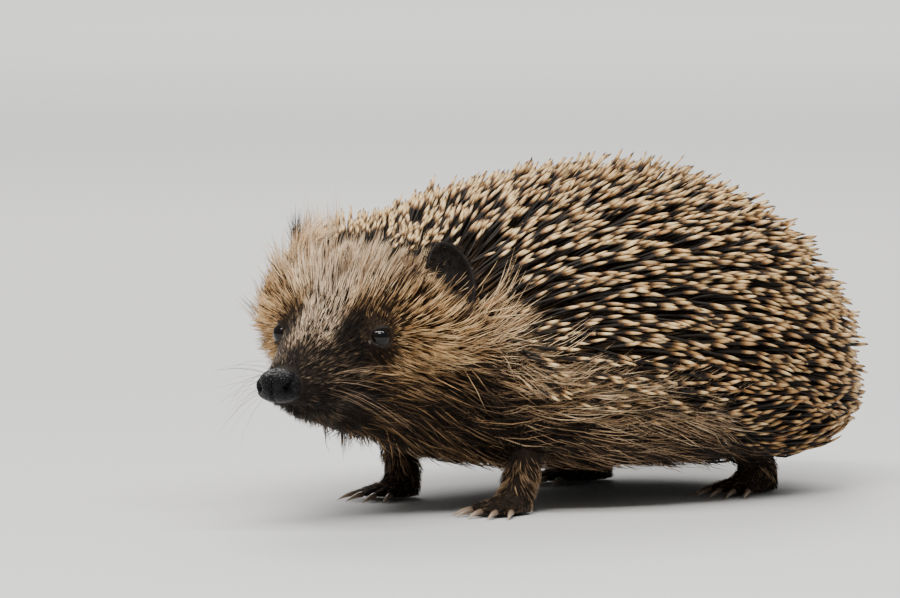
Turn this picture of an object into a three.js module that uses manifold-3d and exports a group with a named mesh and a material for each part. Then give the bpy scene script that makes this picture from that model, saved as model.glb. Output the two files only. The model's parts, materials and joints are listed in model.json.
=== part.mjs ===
// A young European hedgehog, life size, standing on its four feet with its head turned to its left.
// Millimetres, +Z up, the feet on z = 0. The head points to -X, and the animal's left side faces -Y.
// Every solid has the outline of the animal with its coat on, out to the tips of the hair and quills.
//
// A place on the animal is given as (along, left, up): along is the distance in front of the middle
// of the body, measured along a spine line that bends at the neck, left is the distance to its left
// and up is the height above the floor.

import * as THREE from "three";
import { mergeVertices } from "three/addons/utils/BufferGeometryUtils.js";
import Module from "manifold-3d";

const wasm = await Module();
wasm.setup();

// ---- Driving dimensions -------------------------------------------------------------------------

const GAP = 0.3; // between two parts that touch
const HEAD_TURN = THREE.MathUtils.degToRad(22); // to the animal's left
const NECK_BEND = { from: 32, to: 70 }; // the stretch of the spine line that takes up the turn
const SIDES = 26; // facets round the body

// The body as seen in slices across the spine line: half width, and the heights of the slice's top,
// widest level and underside. The lower half's corner is square below 1, round at 1 and a straight
// slope at 2. The first and last stations are the tips of a round end.
const BODY = {
  rings: 26,
  stations: [
    { along: -78, half: 0, top: 30, belt: 30, base: 30, corner: 0.9 },
    { along: -75, half: 22, top: 47, belt: 26, base: 8, corner: 0.9 },
    { along: -62, half: 37, top: 62, belt: 25, base: 5.5, corner: 0.85 },
    { along: -42, half: 45, top: 70, belt: 25, base: 5.5, corner: 0.8 },
    { along: -16, half: 49, top: 73, belt: 26, base: 7, corner: 0.8 },
    { along: 8, half: 48.5, top: 72, belt: 28, base: 8.5, corner: 0.8 },
    { along: 30, half: 44, top: 68.5, belt: 31, base: 10.5, corner: 0.85 },
    { along: 47, half: 37, top: 65, belt: 36, base: 13.5, corner: 1 },
    { along: 60, half: 32, top: 66.5, belt: 43, base: 16, corner: 1.2 },
    { along: 71, half: 30, top: 68.5, belt: 48, base: 18, corner: 1.5 },
    { along: 79, half: 26.5, top: 68, belt: 49, base: 20, corner: 1.6 },
    { along: 86, half: 17.5, top: 60.5, belt: 46.5, base: 21.2, corner: 1.4 },
    { along: 93, half: 12.3, top: 53.5, belt: 43, base: 22.8, corner: 1.2 },
    { along: 102, half: 9.6, top: 47.5, belt: 38.5, base: 24.8, corner: 1.1 },
    { along: 111, half: 7.2, top: 43.2, belt: 35.5, base: 27.8, corner: 1 },
    { along: 117, half: 5.3, top: 41.6, belt: 36.4, base: 31, corner: 1 },
    { along: 119.5, half: 4.8, top: 41.2, belt: 36.6, base: 32, corner: 1 },
    { along: 122, half: 0, top: 36.8, belt: 36.8, base: 36.8, corner: 1 },
  ],
};

// The outer surface of the quills, in the same slices.
const MANTLE = {
  rings: 20,
  stations: [
    { along: -89, half: 0, top: 38, belt: 38, base: 38, corner: 0.8 },
    { along: -86, half: 26, top: 56, belt: 31, base: 10, corner: 0.8 },
    { along: -74, half: 42, top: 70, belt: 30, base: 6, corner: 0.8 },
    { along: -52, half: 51, top: 82, belt: 30, base: 5, corner: 0.8 },
    { along: -25, half: 55, top: 87, belt: 31, base: 5, corner: 0.8 },
    { along: 3, half: 54.5, top: 85.5, belt: 33, base: 5, corner: 0.8 },
    { along: 26, half: 50, top: 81.5, belt: 36, base: 5, corner: 0.8 },
    { along: 45, half: 42, top: 77.5, belt: 41, base: 8, corner: 0.8 },
    { along: 60, half: 34.5, top: 74.5, belt: 48, base: 10, corner: 0.8 },
    { along: 72, half: 27, top: 73, belt: 54, base: 14, corner: 0.8 },
    { along: 79, half: 16.5, top: 71.5, belt: 60, base: 30, corner: 0.8 },
    { along: 82, half: 0, top: 67, belt: 67, base: 67, corner: 0.8 },
  ],
};

// The lower edge of the quills, seen from the side: over the tail, low on the thighs, and rising to
// the forehead.
const FRINGE = [
  [-95, 21],
  [-80, 18],
  [-64, 12.5],
  [-50, 10.5],
  [-36, 13],
  [-16, 21],
  [8, 28],
  [32, 35],
  [48, 42],
  [55, 50],
  [59, 60],
  [64, 66.5],
  [72, 68.5],
  [90, 70],
];
const FRINGE_STEPS = 24;

// Where the body is parted, as places along the spine line.
const CUTS = { rump: -42, shoulders: 22, neck: 50, head: 66, snout: 95, nose: 114.5 };
const MANTLE_CUTS = { rump: -44, crown: 56 };

// Swellings and hollows of the head that the plain slices don't have, in pairs, one on each side.
const HEAD_FORMS = [
  { along: 85, left: 9, up: 57, radius: 6, push: 0.8 }, // brow
  { along: 90, left: 14, up: 46, radius: 4.5, push: -0.8 }, // hollow round the eye
  { along: 108, left: 7, up: 33, radius: 4.5, push: 0.8 }, // pad of the whiskers
];

// The line between the jaws. Behind its corner the parting slopes down and back.
const MOUTH = { corner: 88, tip: 118, cornerUp: 30.5, tipUp: 31, slope: 4 };
const CHIN_SETBACK = 6; // the lower jaw ends this far behind the snout
const JAW_ROOT = 12; // and starts this far in front of the neck
const EYE = { along: 88, left: 12.6, up: 46.2, radius: 3 };
const NOSTRIL = { along: 120, left: 4, up: 36.4, length: 2, width: 1, height: 1.2, turn: 0.7 };
const EAR = {
  along: 65,
  left: 21.7,
  up: 58.3,
  height: 10.8, // half sizes of the outer form
  width: 6.4,
  depth: 4.2,
  wall: 1.5,
  hollowAhead: 3.2, // the middle of the hollow, in front of the ear's own
  hollowDepth: 4.1, // half sizes of the hollow are its wall less, apart from this one
  tipIn: THREE.MathUtils.degToRad(20), // lies along the side of the head
  faceOut: THREE.MathUtils.degToRad(56), // its hollow faces forwards and outwards
};
const TAIL = {
  along: -72,
  up: 14,
  length: 14,
  droop: 5,
  rootRadius: 3.2,
  steps: [0, 0.35, 0.7, 0.93, 1], // shares of the length
  swell: [1, 0.8, 0.6, 0.45, 0], // shares of the root's radius
};

const FORE = {
  name: "fore",
  along: 33,
  left: 25,
  legTop: { along: 30, left: 26, up: 26 },
  ankleRadius: 5.2,
  padLength: 6.2, // half sizes of the sole's pad
  padWidth: 5.4,
  toeLength: 8.5,
  toeRadius: 1.7,
  fan: THREE.MathUtils.degToRad(62), // between the outermost toes
  toeOut: THREE.MathUtils.degToRad(6),
  clawLength: 5.2,
};
const HIND = {
  name: "hind",
  along: -42,
  left: 26,
  legTop: { along: -47, left: 26, up: 27 },
  ankleRadius: 5.4,
  padLength: 10.5,
  padWidth: 5.2,
  toeLength: 8.8,
  toeRadius: 1.6,
  fan: THREE.MathUtils.degToRad(48),
  toeOut: THREE.MathUtils.degToRad(10),
  clawLength: 5.6,
};
const TOES = 5;
const STRIDE = { left: 5, right: -5 }; // one forefoot and the other side's hind foot stand ahead
const PAD_HEIGHT = 7.5; // top of the foot over the sole
const TOE = {
  startAhead: 0.55, // of the pad's length
  startApart: 1.5, // of the pad's width, from the inner to the outer toe
  shorter: 1.5, // how fast the toes get shorter to the sides
  steps: [0, 0.5, 1],
  heights: [2.6, 2.1, 1.4],
  swell: [1.15, 1, 0.8], // shares of the toe's radius
};
const CLAW = {
  radius: 0.85,
  rootHeight: 1.75,
  rootInside: 0.6, // the claw starts this far inside the toe
  steps: [0, 0.5, 1],
  drops: [0, 0.06, 0.26], // shares of the claw's length
  swell: [1, 0.85, 0],
};
const LEG = {
  ankleBehind: 0.35, // of the pad's length
  ankleUp: 4,
  steps: [0, 0.3, 0.65, 1],
  swell: [1, 1.02, 1.35, 1.6], // shares of the ankle's radius
};
const CUTTER = { reach: 100, halfWidth: 60, under: 10 }; // sizes of the forms that only cut others

const COLOURS = {
  pelt: { color: 0x6f5a45, roughness: 0.9, metalness: 0 },
  quills: { color: 0x4a3d31, roughness: 0.6, metalness: 0 },
  face: { color: 0x3c312a, roughness: 0.85, metalness: 0 },
  bareSkin: { color: 0x2b2422, roughness: 0.6, metalness: 0 },
  nose: { color: 0x121214, roughness: 0.35, metalness: 0 },
  eye: { color: 0x060505, roughness: 0.05, metalness: 0 },
  claw: { color: 0x8a7660, roughness: 0.45, metalness: 0 },
};

// ---- The spine line -----------------------------------------------------------------------------

const bendRadius = (NECK_BEND.to - NECK_BEND.from) / HEAD_TURN;

// The place on the spine line at a distance along it, and the way it heads there.
function spineAt(along) {
  const turned = THREE.MathUtils.clamp((along - NECK_BEND.from) / bendRadius, 0, HEAD_TURN);
  const straightBefore = Math.min(along, NECK_BEND.from);
  const straightAfter = Math.max(along - NECK_BEND.to, 0);
  const forward = new THREE.Vector3(-Math.cos(turned), -Math.sin(turned), 0);
  const x = -straightBefore - bendRadius * Math.sin(turned);
  const y = -bendRadius * (1 - Math.cos(turned));
  const place = new THREE.Vector3(x, y, 0).addScaledVector(forward, straightAfter);
  return { place, forward, left: new THREE.Vector3(-forward.y, forward.x, 0), turned };
}

function bodyPoint(along, left, up) {
  const spine = spineAt(along);
  return spine.place.addScaledVector(spine.left, left).setZ(up);
}

// ---- Closed shapes ------------------------------------------------------------------------------

// A closed solid over rings of points. A ring of one point is a tip, and an end ring of more points
// is closed flat.
function solidOverRings(rings) {
  const points = [];
  const triangles = [];
  const starts = rings.map((ring) => {
    points.push(...ring);
    return points.length - ring.length;
  });
  const fan = (hub, ringIndex, outwards) => {
    const ring = rings[ringIndex];
    ring.forEach((_, i) => {
      const a = starts[ringIndex] + i;
      const b = starts[ringIndex] + ((i + 1) % ring.length);
      triangles.push(hub, outwards ? b : a, outwards ? a : b);
    });
  };
  for (let r = 0; r + 1 < rings.length; r += 1) {
    const [now, next] = [rings[r], rings[r + 1]];
    if (now.length === 1) fan(starts[r], r + 1, false);
    else if (next.length === 1) fan(starts[r + 1], r, true);
    else
      now.forEach((_, i) => {
        const j = (i + 1) % now.length;
        const [a, b, c, d] = [starts[r] + i, starts[r] + j, starts[r + 1] + i, starts[r + 1] + j];
        triangles.push(a, c, b, b, c, d);
      });
  }
  [0, rings.length - 1].forEach((end) => {
    if (rings[end].length === 1) return;
    const middle = new THREE.Vector3();
    rings[end].forEach((p) => middle.addScaledVector(p, 1 / rings[end].length));
    points.push(middle);
    fan(points.length - 1, end, end > 0);
  });
  const geometry = new THREE.BufferGeometry().setFromPoints(points);
  geometry.setIndex(triangles);
  return solidOf(geometry);
}

// A manifold-3d solid of a closed geometry, turned to face outwards.
function solidOf(geometry) {
  const bare = geometry.clone();
  bare.deleteAttribute("normal");
  bare.deleteAttribute("uv");
  const merged = mergeVertices(bare, 1e-4);
  const make = (triVerts) =>
    new wasm.Manifold(
      new wasm.Mesh({ numProp: 3, vertProperties: merged.attributes.position.array, triVerts }),
    );
  const solid = make(new Uint32Array(merged.index.array));
  return solid.volume() > 0 ? solid : make(new Uint32Array(merged.index.array).reverse());
}

function geometryOf(solid) {
  const mesh = solid.getMesh();
  const geometry = new THREE.BufferGeometry();
  geometry.setAttribute("position", new THREE.BufferAttribute(mesh.vertProperties, 3));
  geometry.setIndex(new THREE.BufferAttribute(mesh.triVerts, 1));
  const faceted = geometry.toNonIndexed();
  faceted.computeVertexNormals();
  return faceted;
}

// A round form with three half sizes, turned and placed by a matrix.
function ellipsoid(halfX, halfY, halfZ, matrix, around = 16, down = 10) {
  const geometry = new THREE.SphereGeometry(1, around, down).scale(halfX, halfY, halfZ);
  return solidOf(geometry.applyMatrix4(matrix));
}

// A tapering round tube through points, with a radius at each. A radius of 0 makes a pointed end.
function taperedTube(points, radii, sides) {
  const curve = new THREE.CatmullRomCurve3(points);
  const frames = curve.computeFrenetFrames(points.length - 1, false);
  const rings = points.map((point, i) => {
    if (radii[i] === 0) return [point];
    return Array.from({ length: sides }, (_, k) => {
      const turn = (k / sides) * Math.PI * 2;
      return point
        .clone()
        .addScaledVector(frames.normals[i], Math.cos(turn) * radii[i])
        .addScaledVector(frames.binormals[i], Math.sin(turn) * radii[i]);
    });
  });
  return solidOverRings(rings);
}

// The largest of a solid's separate bodies, without the slivers that a cut can leave.
function mainBody(solid) {
  return solid.decompose().sort((a, b) => b.volume() - a.volume())[0];
}

function without(solid, ...cutters) {
  return mainBody(cutters.reduce((left, cutter) => left.subtract(cutter), solid));
}

// ---- Lofts along the spine line -----------------------------------------------------------------

const signedPower = (value, power) => Math.sign(value) * Math.abs(value) ** power;

// A layer's slice at a fractional station number, by a Catmull-Rom curve through the stations. Past
// each end the curve is mirrored, which makes the end round.
function sliceAt(layer, number) {
  const { stations } = layer;
  const last = stations.length - 1;
  const i = Math.min(Math.floor(number), last - 1);
  const t = number - i;
  const value = (index, key) => {
    const mirrored = index < 0 ? -index : index > last ? 2 * last - index : index;
    return (mirrored !== index && key === "half" ? -1 : 1) * stations[mirrored][key];
  };
  const smooth = (key) => {
    const [a, b, c, d] = [-1, 0, 1, 2].map((step) => value(i + step, key));
    return b + 0.5 * t * (c - a + t * (2 * a - 5 * b + 4 * c - d + t * (3 * (b - c) + d - a)));
  };
  return Object.fromEntries(Object.keys(stations[0]).map((key) => [key, smooth(key)]));
}

// The station number at a place along the spine line.
function numberAt(layer, along) {
  let [low, high] = [0, layer.stations.length - 1];
  while (high - low > 1e-6) {
    const middle = (low + high) / 2;
    if (sliceAt(layer, middle).along < along) low = middle;
    else high = middle;
  }
  return low;
}

// How far the head's forms move a point of the skin, outwards if positive.
function formPush(along, left, up) {
  return HEAD_FORMS.reduce((sum, form) => {
    const apart = Math.hypot(along - form.along, Math.abs(left) - form.left, up - form.up);
    return sum + form.push * Math.exp(-((apart / form.radius) ** 2));
  }, 0);
}

function ringAt(layer, number, grow) {
  const slice = sliceAt(layer, number);
  const last = layer.stations.length - 1;
  const along = slice.along + grow * ((2 * number) / last - 1);
  if (number === 0 || number === last) return [bodyPoint(along, 0, slice.belt)];
  return Array.from({ length: SIDES }, (_, k) => {
    const turn = (k / SIDES) * Math.PI * 2;
    const [c, s] = [Math.cos(turn), Math.sin(turn)];
    const square = s < 0 ? slice.corner : 1;
    const rise = s < 0 ? slice.belt - slice.base : slice.top - slice.belt;
    const left = slice.half * signedPower(c, square);
    const up = slice.belt + rise * signedPower(s, square);
    const push = grow + (layer === BODY ? formPush(along, left, up) : 0);
    return bodyPoint(along, left + push * c, up + push * s);
  });
}

// A layer from one place to another along the spine line. Without a place it runs to its round end.
function loft(layer, from = null, to = null, grow = 0) {
  const last = layer.stations.length - 1;
  const first = from === null ? 0 : numberAt(layer, from);
  const final = to === null ? last : numberAt(layer, to);
  const step = last / layer.rings;
  const numbers = [first];
  const near = 0.25 * step; // rings closer than this are left out
  for (let n = Math.ceil((first + near) / step) * step; n < final - near; n += step) numbers.push(n);
  numbers.push(final);
  return solidOverRings(numbers.map((number) => ringAt(layer, number, grow)));
}

const stretch = (from, to) =>
  loft(BODY, from === null ? null : from + GAP / 2, to === null ? null : to - GAP / 2);

// ---- The parts ----------------------------------------------------------------------------------

const SIDE_SIGN = { left: 1, right: -1 };

// A matrix at a place on the animal, turned with the spine line so that x runs forwards, y to the
// left and z up, and then by angles of its own.
function placed(along, left, up, turns = new THREE.Euler()) {
  const spine = spineAt(along);
  const basis = new THREE.Matrix4().makeBasis(spine.forward, spine.left, new THREE.Vector3(0, 0, 1));
  basis.setPosition(bodyPoint(along, left, up));
  return basis.multiply(new THREE.Matrix4().makeRotationFromEuler(turns));
}

function eyeball(side, grow = 0) {
  const r = EYE.radius + grow;
  return ellipsoid(r, r, r, placed(EYE.along, side * EYE.left, EYE.up), 12, 9);
}

// An ear is a rounded flap hollowed from the front by a smaller form of its own shape.
function ear(side, grow = 0, hollow = true) {
  const turns = new THREE.Euler(side * EAR.tipIn, 0, side * EAR.faceOut, "ZXY");
  const matrix = placed(EAR.along, side * EAR.left, EAR.up, turns);
  const flap = ellipsoid(EAR.depth + grow, EAR.width + grow, EAR.height + grow, matrix, 14, 9);
  if (!hollow) return flap;
  const ahead = matrix.clone().multiply(new THREE.Matrix4().makeTranslation(EAR.hollowAhead, 0, 0));
  const [width, height] = [EAR.width - EAR.wall, EAR.height - EAR.wall];
  return flap.subtract(ellipsoid(EAR.hollowDepth, width, height, ahead, 12, 8));
}

// The space under the mouth line, as a wedge that reaches below the jaw.
function underMouth(lift, tip) {
  const wide = CUTTER.halfWidth;
  const profile = [
    [MOUTH.corner - MOUTH.slope, 0],
    [tip, 0],
    [tip, MOUTH.tipUp + lift],
    [MOUTH.corner, MOUTH.cornerUp + lift],
  ];
  const side = (left) => profile.map(([along, up]) => bodyPoint(along, left, up));
  return solidOverRings([side(-wide), side(wide)]);
}

function nostril(side) {
  const turns = new THREE.Euler(0, 0, side * NOSTRIL.turn);
  const matrix = placed(NOSTRIL.along, side * NOSTRIL.left, NOSTRIL.up, turns);
  return ellipsoid(NOSTRIL.length, NOSTRIL.width, NOSTRIL.height, matrix, 8, 6);
}

// All that lies below the lower edge of the quills, right across the body.
function belowFringe() {
  const edge = new THREE.SplineCurve(FRINGE.map(([along, up]) => new THREE.Vector2(along, up)));
  const [rear, front] = [FRINGE[0][0], FRINGE[FRINGE.length - 1][0]];
  const [half, under] = [CUTTER.halfWidth, -CUTTER.under];
  const rings = edge.getPoints(FRINGE_STEPS).map(({ x, y }) =>
    [
      [-half, y],
      [half, y],
      [half, under],
      [-half, under],
    ].map(([left, up]) => {
      const spine = spineAt(Math.min(Math.max(x, rear), front));
      return spine.place.clone().addScaledVector(spine.left, left).setZ(up);
    }),
  );
  return solidOverRings(rings);
}

function mantle(bodyCutter) {
  const whole = loft(MANTLE).subtract(bodyCutter).subtract(belowFringe());
  const ears = [1, -1].map((side) => ear(side, GAP, false));
  const between = (from, to) => {
    const [low, high] = [from ?? -2 * CUTTER.reach, to ?? 2 * CUTTER.reach];
    const slab = [low + GAP / 2, high - GAP / 2].map((along) => crossSection(along));
    return mainBody(ears.reduce((left, e) => left.subtract(e), whole.intersect(solidOverRings(slab))));
  };
  return {
    mantle_rump: between(null, MANTLE_CUTS.rump),
    mantle_back: between(MANTLE_CUTS.rump, MANTLE_CUTS.crown),
    mantle_crown: between(MANTLE_CUTS.crown, null),
  };
}

// A large square across the spine line.
function crossSection(along) {
  const corners = [
    [-1, -1],
    [1, -1],
    [1, 1],
    [-1, 1],
  ];
  return corners.map(([left, up]) => bodyPoint(along, left * CUTTER.reach, up * CUTTER.reach));
}

function tail() {
  const points = TAIL.steps.map((t) =>
    bodyPoint(TAIL.along - TAIL.length * t, 0, TAIL.up - TAIL.droop * t * t),
  );
  const radii = TAIL.swell.map((t) => t * TAIL.rootRadius);
  return taperedTube(points, radii, 10);
}

// The toes of a foot, from the inner to the outer one, as angles and lengths.
function toesOf(limb) {
  return Array.from({ length: TOES }, (_, i) => {
    const across = i / (TOES - 1) - 0.5; // -0.5 is the inner toe
    const reach = limb.toeLength * (1 - TOE.shorter * across ** 2);
    return { angle: across * limb.fan, reach, across };
  });
}

// A place on a foot's toe, at a distance from the toe's root and a height over the sole.
function toePoint(limb, { angle, across }, distance, height) {
  const ahead = limb.padLength * TOE.startAhead + distance * Math.cos(angle);
  const aside = limb.padWidth * TOE.startApart * across + distance * Math.sin(angle);
  return new THREE.Vector3(ahead, aside, height);
}

// A foot about its own ankle, x forwards and y to its outer side: a pad and five toes, cut level.
function foot(limb, grow = 0) {
  const still = new THREE.Matrix4();
  const pad = ellipsoid(limb.padLength + grow, limb.padWidth + grow, PAD_HEIGHT + grow, still, 12, 9);
  const radii = TOE.swell.map((t) => t * limb.toeRadius + grow);
  const toes = toesOf(limb).map((toe) => {
    const points = TOE.steps.map((t, k) => toePoint(limb, toe, toe.reach * t, TOE.heights[k]));
    return taperedTube(points, radii, 6);
  });
  const floor = new THREE.BoxGeometry(CUTTER.reach, CUTTER.reach, CUTTER.under);
  const underFloor = solidOf(floor.translate(0, 0, -CUTTER.under / 2));
  return toes.reduce((sum, toe) => sum.add(toe), pad).subtract(underFloor);
}

function claw(limb, toe) {
  const root = toe.reach - CLAW.rootInside;
  const points = CLAW.steps.map((t, k) => {
    const height = CLAW.rootHeight - CLAW.drops[k] * limb.clawLength;
    return toePoint(limb, toe, root + limb.clawLength * t, height);
  });
  return taperedTube(points, CLAW.swell.map((t) => t * CLAW.radius), 5);
}

// The place and turn of a foot on the floor.
function footMatrix(limb, side, sideName) {
  const stride = STRIDE[sideName] * (limb === FORE ? 1 : -1);
  const spine = bodyPoint(limb.along + stride, side * limb.left, 0);
  const forwards = new THREE.Vector3(-1, 0, 0).applyAxisAngle(
    new THREE.Vector3(0, 0, 1),
    side * limb.toeOut,
  );
  const outwards = new THREE.Vector3(-forwards.y, forwards.x, 0).multiplyScalar(side);
  const up = new THREE.Vector3(0, 0, 1);
  return new THREE.Matrix4().makeBasis(forwards, outwards, up).setPosition(spine);
}

function leg(limb, side, sideName, bodyCutter) {
  const matrix = footMatrix(limb, side, sideName);
  const behind = -limb.padLength * LEG.ankleBehind;
  const ankle = new THREE.Vector3(behind, 0, LEG.ankleUp).applyMatrix4(matrix);
  const top = bodyPoint(limb.legTop.along, side * limb.legTop.left, limb.legTop.up);
  const points = LEG.steps.map((t) => ankle.clone().lerp(top, t));
  const radii = LEG.swell.map((t) => t * limb.ankleRadius);
  const footCutter = foot(limb, GAP).transform(matrix.elements);
  return without(taperedTube(points, radii, 10), footCutter, bodyCutter);
}

// ---- The animal ---------------------------------------------------------------------------------

const materials = Object.fromEntries(
  Object.entries(COLOURS).map(([name, look]) => [name, new THREE.MeshStandardMaterial(look)]),
);
const animal = new THREE.Group();

function addNode(name, solid, material, parent = animal) {
  const mesh = new THREE.Mesh(geometryOf(solid), materials[material]);
  mesh.name = name;
  parent.add(mesh);
  return mesh;
}

// Trunk and neck
const bodyCutter = loft(BODY, null, null, GAP);
addNode("rump", stretch(null, CUTS.rump), "pelt");
addNode("loins", stretch(CUTS.rump, CUTS.shoulders), "pelt");
addNode("shoulders", stretch(CUTS.shoulders, CUTS.neck), "pelt");
addNode("neck", stretch(CUTS.neck, CUTS.head), "pelt");
addNode("tail", without(tail(), bodyCutter), "pelt");

// Head: the jaw is parted from the skull and the snout along the mouth line
const eyes = { left: eyeball(1), right: eyeball(-1) };
const sockets = [eyeball(1, GAP), eyeball(-1, GAP)];
const aboveJaw = underMouth(GAP / 2, MOUTH.tip);
const chin = underMouth(-GAP / 2, CUTS.nose - CHIN_SETBACK);
addNode("head", without(stretch(CUTS.head, CUTS.snout), aboveJaw, ...sockets), "face");
addNode("snout", without(stretch(CUTS.snout, CUTS.nose), aboveJaw), "face");
addNode("lower_jaw", mainBody(loft(BODY, CUTS.head + JAW_ROOT, CUTS.nose).intersect(chin)), "face");
addNode("nose", without(stretch(CUTS.nose, null), nostril(1), nostril(-1)), "nose");
for (const [sideName, side] of Object.entries(SIDE_SIGN)) {
  addNode(`eye_${sideName}`, eyes[sideName], "eye");
  addNode(`ear_${sideName}`, without(ear(side), bodyCutter), "bareSkin");
}

// Quills
for (const [name, solid] of Object.entries(mantle(bodyCutter))) addNode(name, solid, "quills");

// Legs, feet and claws
for (const limb of [FORE, HIND])
  for (const [sideName, side] of Object.entries(SIDE_SIGN)) {
    const matrix = footMatrix(limb, side, sideName);
    addNode(`${limb.name}leg_${sideName}`, leg(limb, side, sideName, bodyCutter), "pelt");
    const paw = new THREE.Group();
    paw.applyMatrix4(matrix);
    animal.add(paw);
    addNode(`${limb.name}foot_${sideName}`, mainBody(foot(limb)), "bareSkin", paw);
    toesOf(limb).forEach((toe, i) => {
      const horn = without(claw(limb, toe), foot(limb, GAP));
      addNode(`claw_${limb.name}_${sideName}_${i + 1}`, horn, "claw", paw);
    });
  }

// The origin is under the middle of the animal's box, on the floor.
animal.updateMatrixWorld(true);
const middle = new THREE.Box3().setFromObject(animal, true).getCenter(new THREE.Vector3());
animal.position.set(-middle.x, -middle.y, 0);

export default animal;
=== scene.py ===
"""A young hedgehog, life size, standing with its head turned to its left.

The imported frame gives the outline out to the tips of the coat. One skin lies inside it by the depth
of the coat, and quills, fur and whiskers grow from that skin out to the frame's outline. Lengths in
the classes are millimetres, and Blender's are metres.
"""

import json
import logging
import math
from dataclasses import dataclass, field
from enum import Enum

import bpy
import numpy as np
from mathutils import Matrix, Vector
from mathutils.bvhtree import BVHTree
from mathutils.kdtree import KDTree

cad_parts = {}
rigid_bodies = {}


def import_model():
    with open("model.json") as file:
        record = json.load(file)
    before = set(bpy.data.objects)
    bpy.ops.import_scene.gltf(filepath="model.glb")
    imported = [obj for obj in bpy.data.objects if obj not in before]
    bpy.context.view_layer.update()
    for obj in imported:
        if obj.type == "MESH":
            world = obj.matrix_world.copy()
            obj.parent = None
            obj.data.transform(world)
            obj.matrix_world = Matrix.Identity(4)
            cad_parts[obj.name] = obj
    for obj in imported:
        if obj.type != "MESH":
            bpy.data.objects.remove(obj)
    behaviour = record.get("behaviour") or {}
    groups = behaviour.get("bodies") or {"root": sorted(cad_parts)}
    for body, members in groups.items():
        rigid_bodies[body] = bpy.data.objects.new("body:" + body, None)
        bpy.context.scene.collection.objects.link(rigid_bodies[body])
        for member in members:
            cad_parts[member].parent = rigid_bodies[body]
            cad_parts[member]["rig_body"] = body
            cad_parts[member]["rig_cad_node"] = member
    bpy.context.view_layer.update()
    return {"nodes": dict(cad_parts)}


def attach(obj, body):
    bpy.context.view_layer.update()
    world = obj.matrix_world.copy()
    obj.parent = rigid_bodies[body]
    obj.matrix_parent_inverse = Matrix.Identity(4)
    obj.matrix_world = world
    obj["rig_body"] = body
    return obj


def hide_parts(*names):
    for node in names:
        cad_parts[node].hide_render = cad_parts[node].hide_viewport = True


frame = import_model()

MM = 0.001
UP = np.array([0.0, 0.0, 1.0])
BAKE_MAP = "OFBake"
PATCH = 0.003  # a hair's patch on its bake map
Array = np.ndarray
log = logging.getLogger("hedgehog")


# ---- Small tools ---------------------------------------------------------------------------------


def smoothstep(x: Array, low: float, high: float) -> Array:
    """Rises smoothly from 0 at low to 1 at high."""
    t = np.clip((np.asarray(x, float) - low) / (high - low), 0.0, 1.0)
    return t * t * (3.0 - 2.0 * t)


def unit(vectors: Array) -> Array:
    """Returns the rows of an array at length 1."""
    return vectors / np.maximum(np.linalg.norm(vectors, axis=-1, keepdims=True), 1e-12)


def waves(points: Array, size: float, seed: int) -> Array:
    """A soft random field from crossing waves, about -1 to 1.

    Args:
        points: places, in millimetres.
        size: rough distance between two swells.
        seed: picks the field.

    Returns:
        One value for each point.
    """
    rng = np.random.default_rng(seed)
    total = np.zeros(len(points))
    for _ in range(7):
        way = unit(rng.normal(size=3)) * rng.uniform(0.6, 1.6) * 2 * math.pi / size
        total += np.sin(points @ way + rng.uniform(0, 2 * math.pi))
    return total / 2.6


def deselect_all() -> None:
    """Leaves object mode active and nothing selected."""
    if bpy.context.object and bpy.context.object.mode != "OBJECT":
        bpy.ops.object.mode_set(mode="OBJECT")
    bpy.ops.object.select_all(action="DESELECT")


def make_active(piece: bpy.types.Object) -> None:
    """Selects one object alone."""
    deselect_all()
    piece.select_set(True)
    bpy.context.view_layer.objects.active = piece


def points_of(piece: bpy.types.Object) -> Array:
    """The vertices of a piece, in millimetres."""
    co = np.empty(len(piece.data.vertices) * 3, np.float32)
    piece.data.vertices.foreach_get("co", co)
    return co.reshape(-1, 3).astype(float) / MM


def set_points(piece: bpy.types.Object, points: Array) -> None:
    """Moves the vertices of a piece to places in millimetres."""
    piece.data.vertices.foreach_set("co", (points * MM).astype(np.float32).ravel())
    piece.data.update()


def normals_of(piece: bpy.types.Object) -> Array:
    """The vertex normals of a piece."""
    found = np.empty(len(piece.data.vertices) * 3, np.float32)
    piece.data.vertices.foreach_get("normal", found)
    return unit(found.reshape(-1, 3).astype(float))


def edges_of(piece: bpy.types.Object) -> Array:
    """The pairs of vertices that the edges of a piece join."""
    found = np.empty(len(piece.data.edges) * 2, np.int32)
    piece.data.edges.foreach_get("vertices", found)
    return found.reshape(-1, 2)


def select_vertices(piece: bpy.types.Object, chosen: Array) -> None:
    """Enters edit mode with only the chosen vertices selected."""
    make_active(piece)
    bpy.ops.object.mode_set(mode="EDIT")
    bpy.ops.mesh.select_mode(type="VERT")
    bpy.ops.mesh.select_all(action="DESELECT")
    bpy.ops.object.mode_set(mode="OBJECT")
    piece.data.vertices.foreach_set("select", chosen.astype(bool))
    bpy.ops.object.mode_set(mode="EDIT")


def leave_edit(piece: bpy.types.Object) -> None:
    """Goes back to object mode with the piece's mesh brought up to date."""
    bpy.ops.object.mode_set(mode="OBJECT")
    piece.data.update()


def apply_modifier(piece: bpy.types.Object, kind: str, **settings: object) -> None:
    """Adds a modifier to a piece and applies it."""
    make_active(piece)
    modifier = piece.modifiers.new(kind.title(), kind)
    for name, value in settings.items():
        setattr(modifier, name, value)
    bpy.ops.object.modifier_apply(modifier=modifier.name)


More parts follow.
